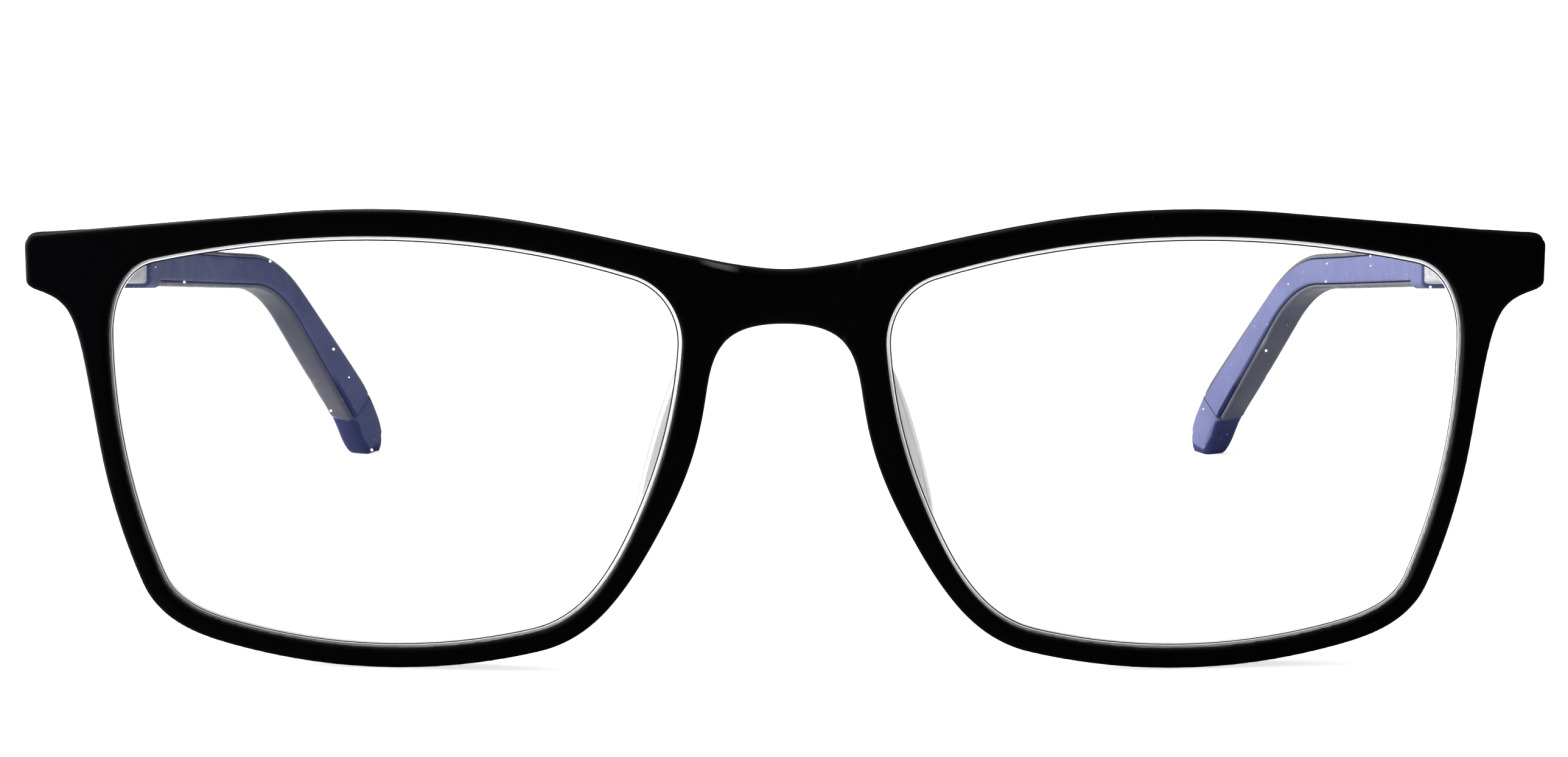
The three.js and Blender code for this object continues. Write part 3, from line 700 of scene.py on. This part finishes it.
def eye_field(x, y, z):
    half = EYE_HEIGHT / 2
    knuckle = disc_field(x, y, z, KNUCKLE_RADIUS, -half, half, METAL_ROUND)
    neck_high = (half, HOUSING_START - NECK_TRIM, half)
    neck = box_field(x, y, z, (-half, 0, -half), neck_high, METAL_ROUND)
    shaft = disc_field(x, z, y, SHAFT_RADIUS, 1, SHAFT_END, 0.08)
    shape = smooth_min(smooth_min(knuckle, neck, 0.25), shaft, 0.2)
    return np.maximum(shape, PIN_RADIUS + RUNNING_GAP - np.hypot(x, y))


def screw_field(across, beside, up, sizes, low, top):
    """A slotted screw with a domed head. sizes are shank radius, head radius and head height."""
    shank, head, height = sizes
    shape = disc_field(across, beside, up, shank, low, top + height * 0.4, 0.08)
    dome = np.sqrt(across**2 + beside**2 + (up - top - height + SCREW_DOME) ** 2) - SCREW_DOME
    cap = np.maximum(disc_field(across, beside, up, head, top, top + height, 0.1), dome)
    slot = np.maximum(np.abs(beside) - SCREW_SLOT, top + height * 0.5 - up)
    return np.maximum(np.minimum(shape, cap), -slot)


def hinge_screw_field(x, y, z):
    sizes = (PIN_RADIUS, PIN_HEAD_RADIUS, PIN_HEAD)
    return screw_field(x, y, z, sizes, -STACK_TOP, STACK_TOP + SEAT_GAP)


def leaf_screw_field(x, y, z):
    set_at = y + HINGE_SETBACK + LEAF_SCREW_SET
    sizes = (LEAF_SCREW_RADIUS, LEAF_SCREW_HEAD, LEAF_SCREW_HEAD_HEIGHT)
    tip = -LEAF_THICKNESS / 2 - LEAF_SCREW_TIP
    return screw_field(set_at, z, -x, sizes, tip, -LEAF_SCREW_SEAT - LEAF_SCREW_HEAD_HEIGHT)


def housing_field(x, y, z):
    half = (HOUSING_WIDTH / 2, HOUSING_HEIGHT / 2)
    low = (-half[0], HOUSING_START, -half[1])
    shape = box_field(x, y, z, low, (half[0], HOUSING_END, half[1]), HOUSING_ROUND)
    bore = np.maximum(np.hypot(x, z) - BORE_RADIUS, y - HOUSING_END + HOUSING_WALL)
    groove = np.hypot(np.abs(z) - half[1], y - HOUSING_START - GROOVE_SET) - GROOVE_RADIUS
    return np.maximum(np.maximum(shape, -bore), -groove)


def arm_field(x, y, z):
    inner = HOUSING_WIDTH / 2 + SEAT_GAP
    outer = inner + PLATE_THICKNESS
    end = COLLAR_START - SEAT_GAP
    high = PLATE_HEIGHT / 2
    plate = box_field(x, y, z, (inner, HOUSING_START, -high), (outer, end, high), PLATE_ROUND)
    block_low = (TEMPLE_OFFSET - HALF_THICK, HOUSING_END + SEAT_GAP, -high)
    block = box_field(x, y, z, block_low, (outer, end, high), PLATE_ROUND)
    middle = TEMPLE_OFFSET + CORE_MIDDLE
    wide, tall = CORE_HALF
    core_low = (middle - wide, end - 0.5, -tall)
    core = box_field(x, y, z, core_low, (middle + wide, end + CORE_REACH, tall), 0.1)
    return np.minimum(smooth_min(plate, block, 0.2), core)


def build_hinges(satin, steel):
    """Each shape is sampled in a box that just holds it."""
    tall = STACK_TOP + SEAT_GAP + PIN_HEAD
    rear = -HINGE_SETBACK - LEAF_LENGTH
    wide = KNUCKLE_RADIUS
    start = HOUSING_START
    metal_pieces = [
        ("hinge_leaf", leaf_field, (-wide, rear, -STACK_TOP), (wide, wide, STACK_TOP), "front", METAL_STEP),
        ("hinge_eye", eye_field, (-wide, -wide, -1), (wide, SHAFT_END, 1), "hinge", METAL_STEP),
        ("hinge_screw", hinge_screw_field, (-1.2, -1.2, -STACK_TOP), (1.2, 1.2, tall), "front", SCREW_STEP),
        ("leaf_screw", leaf_screw_field, (-2.1, rear + 1, -1), (1.5, rear + 4, 1), "front", SCREW_STEP),
        ("spring_housing", housing_field, (-1.6, start, -1.8), (1.6, HOUSING_END, 1.8), "temple", METAL_STEP),
        ("temple_arm", arm_field, (-0.9, start, -2), (2.9, COLLAR_START + 3, 2), "temple", ARM_STEP),
    ]
    for name, field, low, high, body, step in metal_pieces:
        slot, material = ("screw_steel", steel) if "screw" in name else ("satin_metal", satin)
        build_from_field(name, field, low, high, body, material, step)


def build_springs(material):
    """Coil round each shaft."""
    radius = (BORE_RADIUS + SHAFT_RADIUS) / 2 + SPRING_ROOM
    along = np.array((0, 1, 0))
    turns = np.radians(np.arange(0, 360, 360 // WIRE_SIDES))[:, None]
    count = COIL_STEPS * SPRING_TURNS
    rings = []
    for share in np.arange(count + 1) / count:
        angle = share * SPRING_TURNS * 2 * math.pi
        across = np.array((math.cos(angle), 0, math.sin(angle)))
        middle = across * radius + along * (SPRING_START + SPRING_WIRE + share * SPRING_LENGTH)
        rings.append(middle + SPRING_WIRE * (np.cos(turns) * across + np.sin(turns) * along))
    points = at_hinge(np.concatenate(rings))
    faces = tube_faces(count + 1, len(turns))
    faces = facing_out(points, faces)
    springs = on_both_sides("flex_spring", points, faces, "temple", [material])
    for spring, side in zip(springs, ("right", "left")):
        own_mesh(spring)


# ---- Temples ----


def temple_sizes():
    """Distances along the temple where its drop and tip start, and where it ends."""
    drop = SLOPE + DROP_ANGLE
    tip = drop + TIP_ANGLE
    fall = BEND_START * math.sin(SLOPE)
    fall += BEND_RADIUS * (math.cos(SLOPE) - math.cos(drop))
    fall += TIP_RADIUS * (math.cos(drop) - math.cos(tip))
    fall += TIP_LENGTH * math.sin(tip)
    length = (HINGE[2] + TIP_TRIM - fall) / math.sin(drop)
    drop_start = BEND_START + BEND_RADIUS * DROP_ANGLE
    tip_start = drop_start + length
    return drop_start, tip_start, tip_start + TIP_RADIUS * TIP_ANGLE + TIP_LENGTH


DROP_START, TIP_START, TEMPLE_END = temple_sizes()
FOOT_START = TEMPLE_END - FOOT_LENGTH


def temple_at(distance):
    """Place, outward and upward directions on the temple's middle line."""
    x = TEMPLE_OFFSET
    y = min(distance, BEND_START)
    z = 0.0
    turned = max(0.0, min((distance - BEND_START) / BEND_RADIUS, DROP_ANGLE))
    y += BEND_RADIUS * math.sin(turned)
    z -= BEND_RADIUS * (1 - math.cos(turned))
    run = max(0.0, min(distance, TIP_START) - DROP_START)
    y += run * math.cos(DROP_ANGLE)
    z -= run * math.sin(DROP_ANGLE)
    angle = turned
    if distance > TIP_START:
        more = min((distance - TIP_START) / TIP_RADIUS, TIP_ANGLE)
        y += TIP_RADIUS * (math.sin(DROP_ANGLE + more) - math.sin(DROP_ANGLE))
        z -= TIP_RADIUS * (math.cos(DROP_ANGLE) - math.cos(DROP_ANGLE + more))
        angle = DROP_ANGLE + more
        last = max(0.0, distance - (TEMPLE_END - TIP_LENGTH))
        y += last * math.cos(angle)
        z -= last * math.sin(angle)
    past = max(0.0, distance - LEAN_START) / (TEMPLE_END - LEAN_START)
    whole = math.hypot(1, LEAN_EASE) - LEAN_EASE
    x -= TIP_LEAN * (math.hypot(past, LEAN_EASE) - LEAN_EASE) / whole
    inwards = -TIP_LEAN * past / (math.hypot(past, LEAN_EASE) * whole * (TEMPLE_END - LEAN_START))
    along = Vector((inwards, math.cos(angle), -math.sin(angle))).normalized()
    up = Vector((0, math.sin(angle), math.cos(angle)))
    out = along.cross(up).normalized()
    twist = TIP_TWIST * float(smoothstep(BEND_START, TEMPLE_END, distance))
    out = out * math.cos(twist) + up * math.sin(twist)
    return np.array((x, y, z)), np.array(out), np.array(out.cross(along))


def round_section(left, right, low, high, corner, steps=6):
    """A rectangle with round corners, as points that go round it."""
    points = []
    middles = [
        (right - corner, low + corner, -90),
        (right - corner, high - corner, 0),
        (left + corner, high - corner, 90),
        (left + corner, low + corner, 180),
    ]
    for x, z, start in middles:
        for i in range(steps + 1):
            angle = math.radians(start + 90 * i / steps)
            points.append((x + corner * math.cos(angle), z + corner * math.sin(angle)))
    return np.array(points)


def temple_stations(start, end, spacing=0.9):
    count = max(2, int(round((end - start) / spacing)))
    return list(np.linspace(start, end, count + 1))


def shrunk(section, margin):
    """The section with its edges drawn in, for the rounding at its ends."""
    middle = (section.max(0) + section.min(0)) / 2
    half = (section.max(0) - section.min(0)) / 2
    return middle + (section - middle) * (half - margin) / half


def swept(rings):
    """Points of rings given as (distance, section) along the temple, in the front's frame."""
    points = []
    for distance, section in rings:
        at, out, up = temple_at(distance)
        size = 1 + TIP_GROWTH * float(smoothstep(BEND_START, FOOT_START, distance))
        points.append(at + section[:, :1] * size * out + section[:, 1:] * size * up)
    return at_hinge(np.concatenate(points))


def rounded_run(section, start, end, radius):
    """Rings from start to end with both ends rounded over."""
    ends = []
    for angle in np.radians([90, 60, 30]):
        margin = radius * (1 - math.cos(angle))
        ends.append((radius * (1 - math.sin(angle)), shrunk(section, margin)))
    rings = [(start + inset, ring) for inset, ring in ends]
    rings += [(distance, section) for distance in temple_stations(start + radius, end - radius)]
    return rings + [(end - inset, ring) for inset, ring in reversed(ends)]


def build_sleeves(material):
    """Blue inner part of each temple, with the collar and the foot that it is moulded in one with."""
    proud = (HALF_THICK + COLLAR_STEP, HALF_HIGH + COLLAR_STEP)
    collar = round_section(-proud[0], proud[0], -proud[1], proud[1], COLLAR_CORNER)
    edge = HALF_HIGH - COVER_LIP - SEAT_GAP
    body = round_section(-HALF_THICK, SLEEVE_OUT, -edge, edge, SLEEVE_CORNER)
    foot = round_section(-HALF_THICK, HALF_THICK, -HALF_HIGH, HALF_HIGH, FOOT_CORNER)

    collar_end = COLLAR_START + COLLAR_LENGTH
    rings = rounded_run(collar, COLLAR_START, collar_end, COLLAR_ROUND)
    rings += [(collar_end + 0.01, shrunk(body, -0.1)), (collar_end + 0.12, body)]
    rings += [(distance, body) for distance in temple_stations(collar_end + 0.5, FOOT_START - 0.3)]
    rings += [(FOOT_START - 0.12, body), (FOOT_START - 0.01, shrunk(body, -0.1))]
    for angle in (1.57, 1.05, 0.52):
        distance = FOOT_START + FOOT_EASE * (1 - math.sin(angle))
        rings.append((distance, shrunk(foot, FOOT_EASE * (1 - math.cos(angle)))))
    round_start = TEMPLE_END - FOOT_ROUND_LENGTH
    rings += [(distance, foot) for distance in temple_stations(FOOT_START + FOOT_EASE, round_start)]
    for angle in np.radians(np.linspace(10, 90, 9)):
        distance = round_start + FOOT_ROUND_LENGTH * math.sin(angle)
        rings.append((distance, shrunk(foot, FOOT_ROUND * (1 - math.cos(angle)))))
    points = swept(rings)
    points[:, 2] = np.maximum(points[:, 2], 0.0)
    faces = tube_faces(len(rings), len(body))
    faces = facing_out(points, faces)
    for sleeve in on_both_sides("temple_sleeve", points, faces, "temple", [material]):
        mark_sharp(sleeve, TEMPLE_CRISP)


def cover_section():
    """A channel, open towards the head, with its edges rounded."""
    lip = -HALF_THICK + COVER_REACH
    inner = HALF_THICK - COVER_WALL
    edge = HALF_HIGH - COVER_LIP
    upper = []
    for angle in np.radians(np.linspace(0, 90, 9)):
        x = HALF_THICK + COVER_CORNER * (math.cos(angle) - 1)
        upper.append((x, HALF_HIGH + COVER_CORNER * (math.sin(angle) - 1)))
    for angle in np.radians(np.linspace(90, 180, 6)):
        x = lip + LIP_ROUND * (math.cos(angle) + 1)
        upper.append((x, HALF_HIGH + LIP_ROUND * (math.sin(angle) - 1)))
    upper += [(lip + 0.04, edge), (inner, edge)]
    lower = [(x, -z) for x, z in reversed(upper)]
    return np.array(upper + lower)


def build_covers(material):
    section = cover_section()
    start = COLLAR_START + COLLAR_LENGTH + SEAT_GAP
    end = FOOT_START - SEAT_GAP
    tapered = shrunk(section, COVER_END_ROUND)
    rings = [(start, tapered), (start + COVER_END_ROUND, section)]
    rings += [(distance, section) for distance in temple_stations(start + 0.5, end - 0.5)]
    rings += [(end - COVER_END_ROUND, section), (end, tapered)]
    points = swept(rings)
    faces = tube_faces(len(rings), len(section))
    faces = facing_out(points, faces)
    for cover in on_both_sides("temple_cover", points, faces, "temple", [material]):
        mark_sharp(cover, TEMPLE_CRISP)


# ---- Materials ----


def new_material(name, base, roughness, metallic=0.0, specular=0.5):
    material = bpy.data.materials.new(name)
    material.use_nodes = True
    tree = material.node_tree
    shader = tree.nodes["Principled BSDF"]
    shader.inputs["Base Color"].default_value = (*base, 1)
    shader.inputs["Roughness"].default_value = roughness
    shader.inputs["Metallic"].default_value = metallic
    shader.inputs["Specular IOR Level"].default_value = specular
    place = tree.nodes.new("ShaderNodeTexCoord").outputs["Object"]
    return material, tree, shader, place


def noise(tree, place, scale, detail=3.0, stretch=None):
    """A noise value; scale is in features per metre."""
    node = tree.nodes.new("ShaderNodeTexNoise")
    node.inputs["Scale"].default_value = scale
    node.inputs["Detail"].default_value = detail
    if stretch is None:
        tree.links.new(place, node.inputs["Vector"])
    else:
        mapping = tree.nodes.new("ShaderNodeMapping")
        mapping.inputs["Scale"].default_value = stretch
        tree.links.new(place, mapping.inputs["Vector"])
        tree.links.new(mapping.outputs["Vector"], node.inputs["Vector"])
    return node.outputs["Fac"]


def spread(tree, value, low, high, start=0.3, end=0.7):
    """A value moved from start..end to low..high."""
    node = tree.nodes.new("ShaderNodeMapRange")
    node.inputs["From Min"].default_value = start
    node.inputs["From Max"].default_value = end
    node.inputs["To Min"].default_value = low
    node.inputs["To Max"].default_value = high
    tree.links.new(value, node.inputs["Value"])
    return node.outputs["Result"]


def specks(tree, place, scale, size, share):
    """Small round specks: 1 on a speck. size is in cells and share is how many cells hold one."""
    cells = tree.nodes.new("ShaderNodeTexVoronoi")
    cells.inputs["Scale"].default_value = scale
    tree.links.new(place, cells.inputs["Vector"])
    near = spread(tree, cells.outputs["Distance"], 1, 0, size * 0.6, size)
    colour = tree.nodes.new("ShaderNodeSeparateColor")
    tree.links.new(cells.outputs["Color"], colour.inputs["Color"])
    chosen = spread(tree, colour.outputs["Red"], 1, 0, share, share + 0.001)
    return multiply(tree, near, chosen)


def calculated(tree, operation, first, second):
    """Two values put together; the second may be a plain number."""
    node = tree.nodes.new("ShaderNodeMath")
    node.operation = operation
    tree.links.new(first, node.inputs[0])
    if isinstance(second, float):
        node.inputs[1].default_value = second
    else:
        tree.links.new(second, node.inputs[1])
    return node.outputs["Value"]


def larger(tree, first, second):
    return calculated(tree, "MAXIMUM", first, second)


def multiply(tree, first, second):
    return calculated(tree, "MULTIPLY", first, second)


def between(tree, value, low, high, soft):
    """1 between two values and 0 outside them."""
    return multiply(
        tree,
        spread(tree, value, 0, 1, low - soft, low),
        spread(tree, value, 1, 0, high, high + soft),
    )


def parts_of(tree, vector):
    """X, Y and Z of a vector."""
    node = tree.nodes.new("ShaderNodeSeparateXYZ")
    tree.links.new(vector, node.inputs["Vector"])
    return node.outputs["X"], node.outputs["Y"], node.outputs["Z"]


def tint(tree, shader, share, first, second):
    """Base colour between two colours, or from what already feeds it to the second."""
    node = tree.nodes.new("ShaderNodeMix")
    node.data_type = "RGBA"
    base = shader.inputs["Base Color"]
    if first is None:
        tree.links.new(base.links[0].from_socket, node.inputs["A"])
    else:
        node.inputs["A"].default_value = (*first, 1)
    node.inputs["B"].default_value = (*second, 1)
    tree.links.new(share, node.inputs["Factor"])
    tree.links.new(node.outputs["Result"], base)


def grain(tree, shader, height, strength, distance):
    """Bump from a height; distance is in metres."""
    node = tree.nodes.new("ShaderNodeBump")
    node.inputs["Strength"].default_value = strength
    node.inputs["Distance"].default_value = distance
    tree.links.new(height, node.inputs["Height"])
    before = shader.inputs["Normal"]
    if before.is_linked:
        tree.links.new(before.links[0].from_socket, node.inputs["Normal"])
    tree.links.new(node.outputs["Normal"], before)


def vary_roughness(tree, shader, value, low, high):
    tree.links.new(spread(tree, value, low, high), shader.inputs["Roughness"])


def facing_up(tree):
    """How far each face looks up, from -1 to 1."""
    return parts_of(tree, tree.nodes["Texture Coordinate"].outputs["Normal"])[2]


def worn_edges(tree, start, end):
    geometry = tree.nodes.new("ShaderNodeNewGeometry")
    return spread(tree, geometry.outputs["Pointiness"], 0, 1, start, end)


def frame_black():
    black = (0.0005, 0.0005, 0.0007)
    material, tree, shader, place = new_material("frame black", black, 0.5, specular=0.025)
    patches = noise(tree, place, 90, 5)
    tint(tree, shader, spread(tree, patches, 0, 1), black, (0.0011, 0.0012, 0.0017))
    tint(tree, shader, specks(tree, place, 420, 0.035, 0.16), None, (0.05, 0.05, 0.052))
    x, y, _ = parts_of(tree, place)
    # Painted sheen: a faint navy tint on the left end piece only.
    tint(tree, shader, spread(tree, x, 1, 0, -0.069, -0.058), None, (0.0004, 0.0005, 0.002))
    front = FRONT_Y * MM
    # Painted highlight: a pale tint on the up-facing top edge of the bridge, left of centre, just behind its
    # front face.
    top_face = spread(tree, facing_up(tree), 0, 1, 0.3, 0.7)
    painted_highlight = multiply(tree, between(tree, x, -0.0066, -0.0052, 0.0012), top_face)
    painted_highlight = multiply(tree, painted_highlight, between(tree, y, front - 0.001, front + 0.0008, 0.0003))
    tint(tree, shader, painted_highlight, None, (0.2, 0.2, 0.22))
    vary_roughness(tree, shader, noise(tree, place, 240, 6), 0.48, 0.62)
    grain(tree, shader, noise(tree, place, 6500, 2), 0.3, 0.00002)
    grain(tree, shader, noise(tree, place, 420, 3), 0.15, 0.00005)
    return material


def lens_clear():
    """Clear plastic with dust, a few hairline scratches and faint smears."""
    clear = (0.995, 0.997, 1.0)
    material, tree, shader, place = new_material("lens clear", clear, 0.0)
    shader.inputs["IOR"].default_value = 1.5
    shader.inputs["Transmission Weight"].default_value = 1.0
    shader.inputs["Specular Tint"].default_value = (0.12, 0.16, 0.5, 1)
    dust = specks(tree, place, 520, 0.075, 0.32)
    flecks = specks(tree, place, 170, 0.03, 0.35)
    lines = noise(tree, place, 300, 2, (0.25, 1.0, 2.6))
    scratches = spread(tree, lines, 0, 0.5, 0.745, 0.765)
    smears = spread(tree, noise(tree, place, 60, 4), 0.0, 0.03)
    marks = larger(tree, larger(tree, dust, flecks), scratches)
    rough = larger(tree, spread(tree, marks, 0, 0.8, 0, 1), smears)
    tree.links.new(rough, shader.inputs["Roughness"])
    let_light_through(tree, shader, (0.97, 0.975, 1.0))
    return material


def let_light_through(tree, shader, colour):
    """Lamps reach what is behind the glass."""
    output = tree.nodes["Material Output"]
    path = tree.nodes.new("ShaderNodeLightPath")
    clear = tree.nodes.new("ShaderNodeBsdfTransparent")
    clear.inputs["Color"].default_value = (*colour, 1)
    mix = tree.nodes.new("ShaderNodeMixShader")
    tree.links.new(path.outputs["Is Shadow Ray"], mix.inputs["Fac"])
    tree.links.new(shader.outputs["BSDF"], mix.inputs[1])
    tree.links.new(clear.outputs["BSDF"], mix.inputs[2])
    tree.links.new(mix.outputs["Shader"], output.inputs["Surface"])


def lens_ground():
    """Ground edge of a lens: frosted and pale."""
    pale = (0.95, 0.96, 0.97)
    material, tree, shader, place = new_material("lens ground edge", pale, 0.45)
    tint(tree, shader, spread(tree, noise(tree, place, 900, 3), 0, 1), pale, (0.88, 0.9, 0.92))
    shader.inputs["Transmission Weight"].default_value = 0.8
    grain(tree, shader, noise(tree, place, 4200, 3), 0.35, 0.00003)
    return material


def lens_painted_reflection():
    """First step of the bevel, painted dark: a painted reflection of the black groove."""
    dark = (0.03, 0.032, 0.035)
    material, tree, shader, place = new_material("lens bevel line", dark, 0.3, specular=0.2)
    tint(tree, shader, spread(tree, noise(tree, place, 700, 3), 0, 1), dark, (0.09, 0.095, 0.1))
    return material


def pad_silicone():
    """Clear soft silicone that has gone a little milky."""
    milky = (0.5, 0.5, 0.485)
    material, tree, shader, place = new_material("pad silicone", milky, 0.3)
    tint(tree, shader, spread(tree, noise(tree, place, 260, 4), 0, 1), milky, (0.43, 0.43, 0.42))
    shader.inputs["Transmission Weight"].default_value = 0.8
    shader.inputs["IOR"].default_value = 1.41
    vary_roughness(tree, shader, noise(tree, place, 700, 4), 0.24, 0.4)
    grain(tree, shader, noise(tree, place, 2600, 3), 0.2, 0.00003)
    let_light_through(tree, shader, (0.8, 0.8, 0.79))
    return material


def sleeve_blue():
    """Rubbery blue plastic with a fine grain and dust on it, and painted shade on its undersides low down."""
    blue = (0.07, 0.078, 0.165)
    material, tree, shader, place = new_material("sleeve blue", blue, 0.55, specular=0.12)
    tint(tree, shader, spread(tree, noise(tree, place, 180, 5), 0, 1), blue, (0.09, 0.098, 0.2))
    _, _, high = parts_of(tree, place)
    # Painted shade: faces that look down, low on the temple at the foot, are tinted dark navy.
    looks_down = spread(tree, facing_up(tree), 1, 0, -0.32, -0.22)
    under = multiply(tree, looks_down, spread(tree, high, 1, 0, 0.0105, 0.0125))
    tint(tree, shader, under, None, (0.014, 0.016, 0.06))
    tint(tree, shader, specks(tree, place, 900, 0.1, 0.4), None, (0.45, 0.47, 0.56))
    vary_roughness(tree, shader, noise(tree, place, 800, 4), 0.48, 0.64)
    grain(tree, shader, noise(tree, place, 5200, 2), 0.3, 0.00002)
    return material


def cover_black():
    """Satin black plastic shell of the temple."""
    dark = (0.03, 0.031, 0.034)
    material, tree, shader, place = new_material("cover black", dark, 0.38, specular=0.5)
    tint(tree, shader, spread(tree, noise(tree, place, 150, 5), 0, 1), dark, (0.042, 0.043, 0.047))
    tint(tree, shader, worn_edges(tree, 0.53, 0.6), None, (0.09, 0.09, 0.1))
    tint(tree, shader, specks(tree, place, 700, 0.09, 0.3), None, (0.55, 0.55, 0.56))
    vary_roughness(tree, shader, noise(tree, place, 500, 5), 0.3, 0.46)
    grain(tree, shader, noise(tree, place, 5200, 2), 0.2, 0.00002)
    return material


def metal(name, base, low, high, stretch, scratches):
    """Brushed or turned metal: fine lines along one direction, with darker tarnish."""
    material, tree, shader, place = new_material(name, base, 0.3, metallic=1.0)
    darker = tuple(0.72 * part for part in base)
    tint(tree, shader, spread(tree, noise(tree, place, 500, 5), 0, 1, 0.35, 0.75), base, darker)
    lines = noise(tree, place, scratches, 4, stretch)
    vary_roughness(tree, shader, lines, low, high)
    grain(tree, shader, lines, 0.25, 0.00001)
    return material


def satin_metal():
    return metal("satin metal", (0.62, 0.63, 0.655), 0.26, 0.44, (1.0, 0.06, 1.0), 6000)


def screw_steel():
    return metal("screw steel", (0.5, 0.505, 0.52), 0.18, 0.36, (1.0, 1.0, 0.2), 5000)


def spring_steel():
    return metal("spring steel", (0.4, 0.405, 0.42), 0.22, 0.4, (1.0, 1.0, 1.0), 5200)


def keep_cad(material, node):
    """A CAD node that shows as it is, with eased edges."""
    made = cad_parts[node]
    made.data.materials.clear()
    made.data.materials.append(material)
    bevel = made.modifiers.new("eased edges", "BEVEL")
    bevel.width = 0.04 * MM
    bevel.segments = 2
    bevel.limit_method = "ANGLE"
    bevel.angle_limit = math.radians(45)


# ---- Stage: floor, light and camera ----


def seen_directly(tree):
    """1 for what is seen straight or through a lens, 0 for what lights or is reflected."""
    path = tree.nodes.new("ShaderNodeLightPath")
    return larger(tree, path.outputs["Is Camera Ray"], path.outputs["Is Transmission Ray"])


def build_floor():
    material, tree, shader, place = new_material("floor white", (0.9, 0.9, 0.9), 0.6, specular=0.1)
    tint(tree, shader, spread(tree, noise(tree, place, 12, 4), 0, 1), (0.9, 0.9, 0.9), (0.87, 0.87, 0.87))
    shader.inputs["Emission Color"].default_value = (1, 1, 1, 1)
    glow = multiply(tree, seen_directly(tree), FLOOR_GLOW)
    tree.links.new(glow, shader.inputs["Emission Strength"])
    grain(tree, shader, noise(tree, place, 900, 3), 0.05, 0.0001)
    mesh = bpy.data.meshes.new("floor")
    reach = FLOOR_REACH
    corners = [(-reach, -reach, 0), (reach, -reach, 0), (reach, reach, 0), (-reach, reach, 0)]
    mesh.from_pydata(corners, [], [(0, 1, 2, 3)])
    mesh.materials.append(material)
    floor = bpy.data.objects.new("floor", mesh)
    bpy.context.scene.collection.objects.link(floor)


def build_world():
    """White surroundings: bright above, behind and to the left, dark in front and to the right."""
    world = bpy.data.worlds.new("studio")
    bpy.context.scene.world = world
    world.use_nodes = True
    tree = world.node_tree
    background = tree.nodes["Background"]
    place = tree.nodes.new("ShaderNodeTexCoord").outputs["Generated"]
    x, y, z = parts_of(tree, place)
    behind = spread(tree, y, 0.03, 1.0, -0.35, 0.25)
    side = spread(tree, x, 1.2, 0.06, -0.25, 0.1)
    above = spread(tree, z, 0.0, 0.35, 0.3, 0.75)
    low = multiply(tree, behind, side)
    strength = tree.nodes.new("ShaderNodeMix")
    tree.links.new(seen_directly(tree), strength.inputs["Factor"])
    tree.links.new(larger(tree, low, above), strength.inputs["A"])
    strength.inputs["B"].default_value = SURROUNDINGS_SEEN
    background.inputs["Color"].default_value = (1, 1, 1, 1)
    tree.links.new(strength.outputs["Result"], background.inputs["Strength"])


def area_light(name, place, target, size, power):
    light = bpy.data.lights.new(name, "AREA")
    light.shape = "RECTANGLE"
    light.size = size[0]
    light.size_y = size[1]
    light.energy = power
    lamp = bpy.data.objects.new(name, light)
    bpy.context.scene.collection.objects.link(lamp)
    lamp.location = place
    lamp.rotation_euler = (Vector(target) - Vector(place)).to_track_quat("-Z", "Y").to_euler()


def build_lights():
    area_light("key", (-0.95, 0.22, 0.16), (0, 0.02, 0.02), (0.6, 0.28), 26.0)
    area_light("top", (0.0, -0.05, 1.2), (0, 0.0, 0), (1.2, 1.2), 2.0)


def build_camera():
    camera = bpy.data.cameras.new("camera")
    camera.sensor_width = SENSOR_WIDTH
    camera.lens = FOCAL_LENGTH
    camera.clip_start = 0.01
    made = bpy.data.objects.new("camera", camera)
    bpy.context.scene.collection.objects.link(made)
    made.location = (CAMERA_SIDE, cad_low.y - CAMERA_DISTANCE, CAMERA_HEIGHT)
    made.rotation_euler = Euler((math.radians(90 - CAMERA_TILT), 0, math.radians(CAMERA_TURN)))
    bpy.context.scene.camera = made


# ---- Assembly ----

bpy.context.scene.view_settings.view_transform = "Standard"
build_camera()
build_world()
build_lights()
build_floor()
build_front(frame_black())
build_lenses(lens_clear(), lens_ground(), lens_painted_reflection())
build_pads(pad_silicone())
satin = satin_metal()
steel = screw_steel()
build_hinges(satin, steel)
build_springs(spring_steel())
build_sleeves(sleeve_blue())
build_covers(cover_black())
for side in ("left", "right"):
    keep_cad(satin, f"housing_bush_{side}")
    keep_cad(steel, f"spring_stop_{side}")
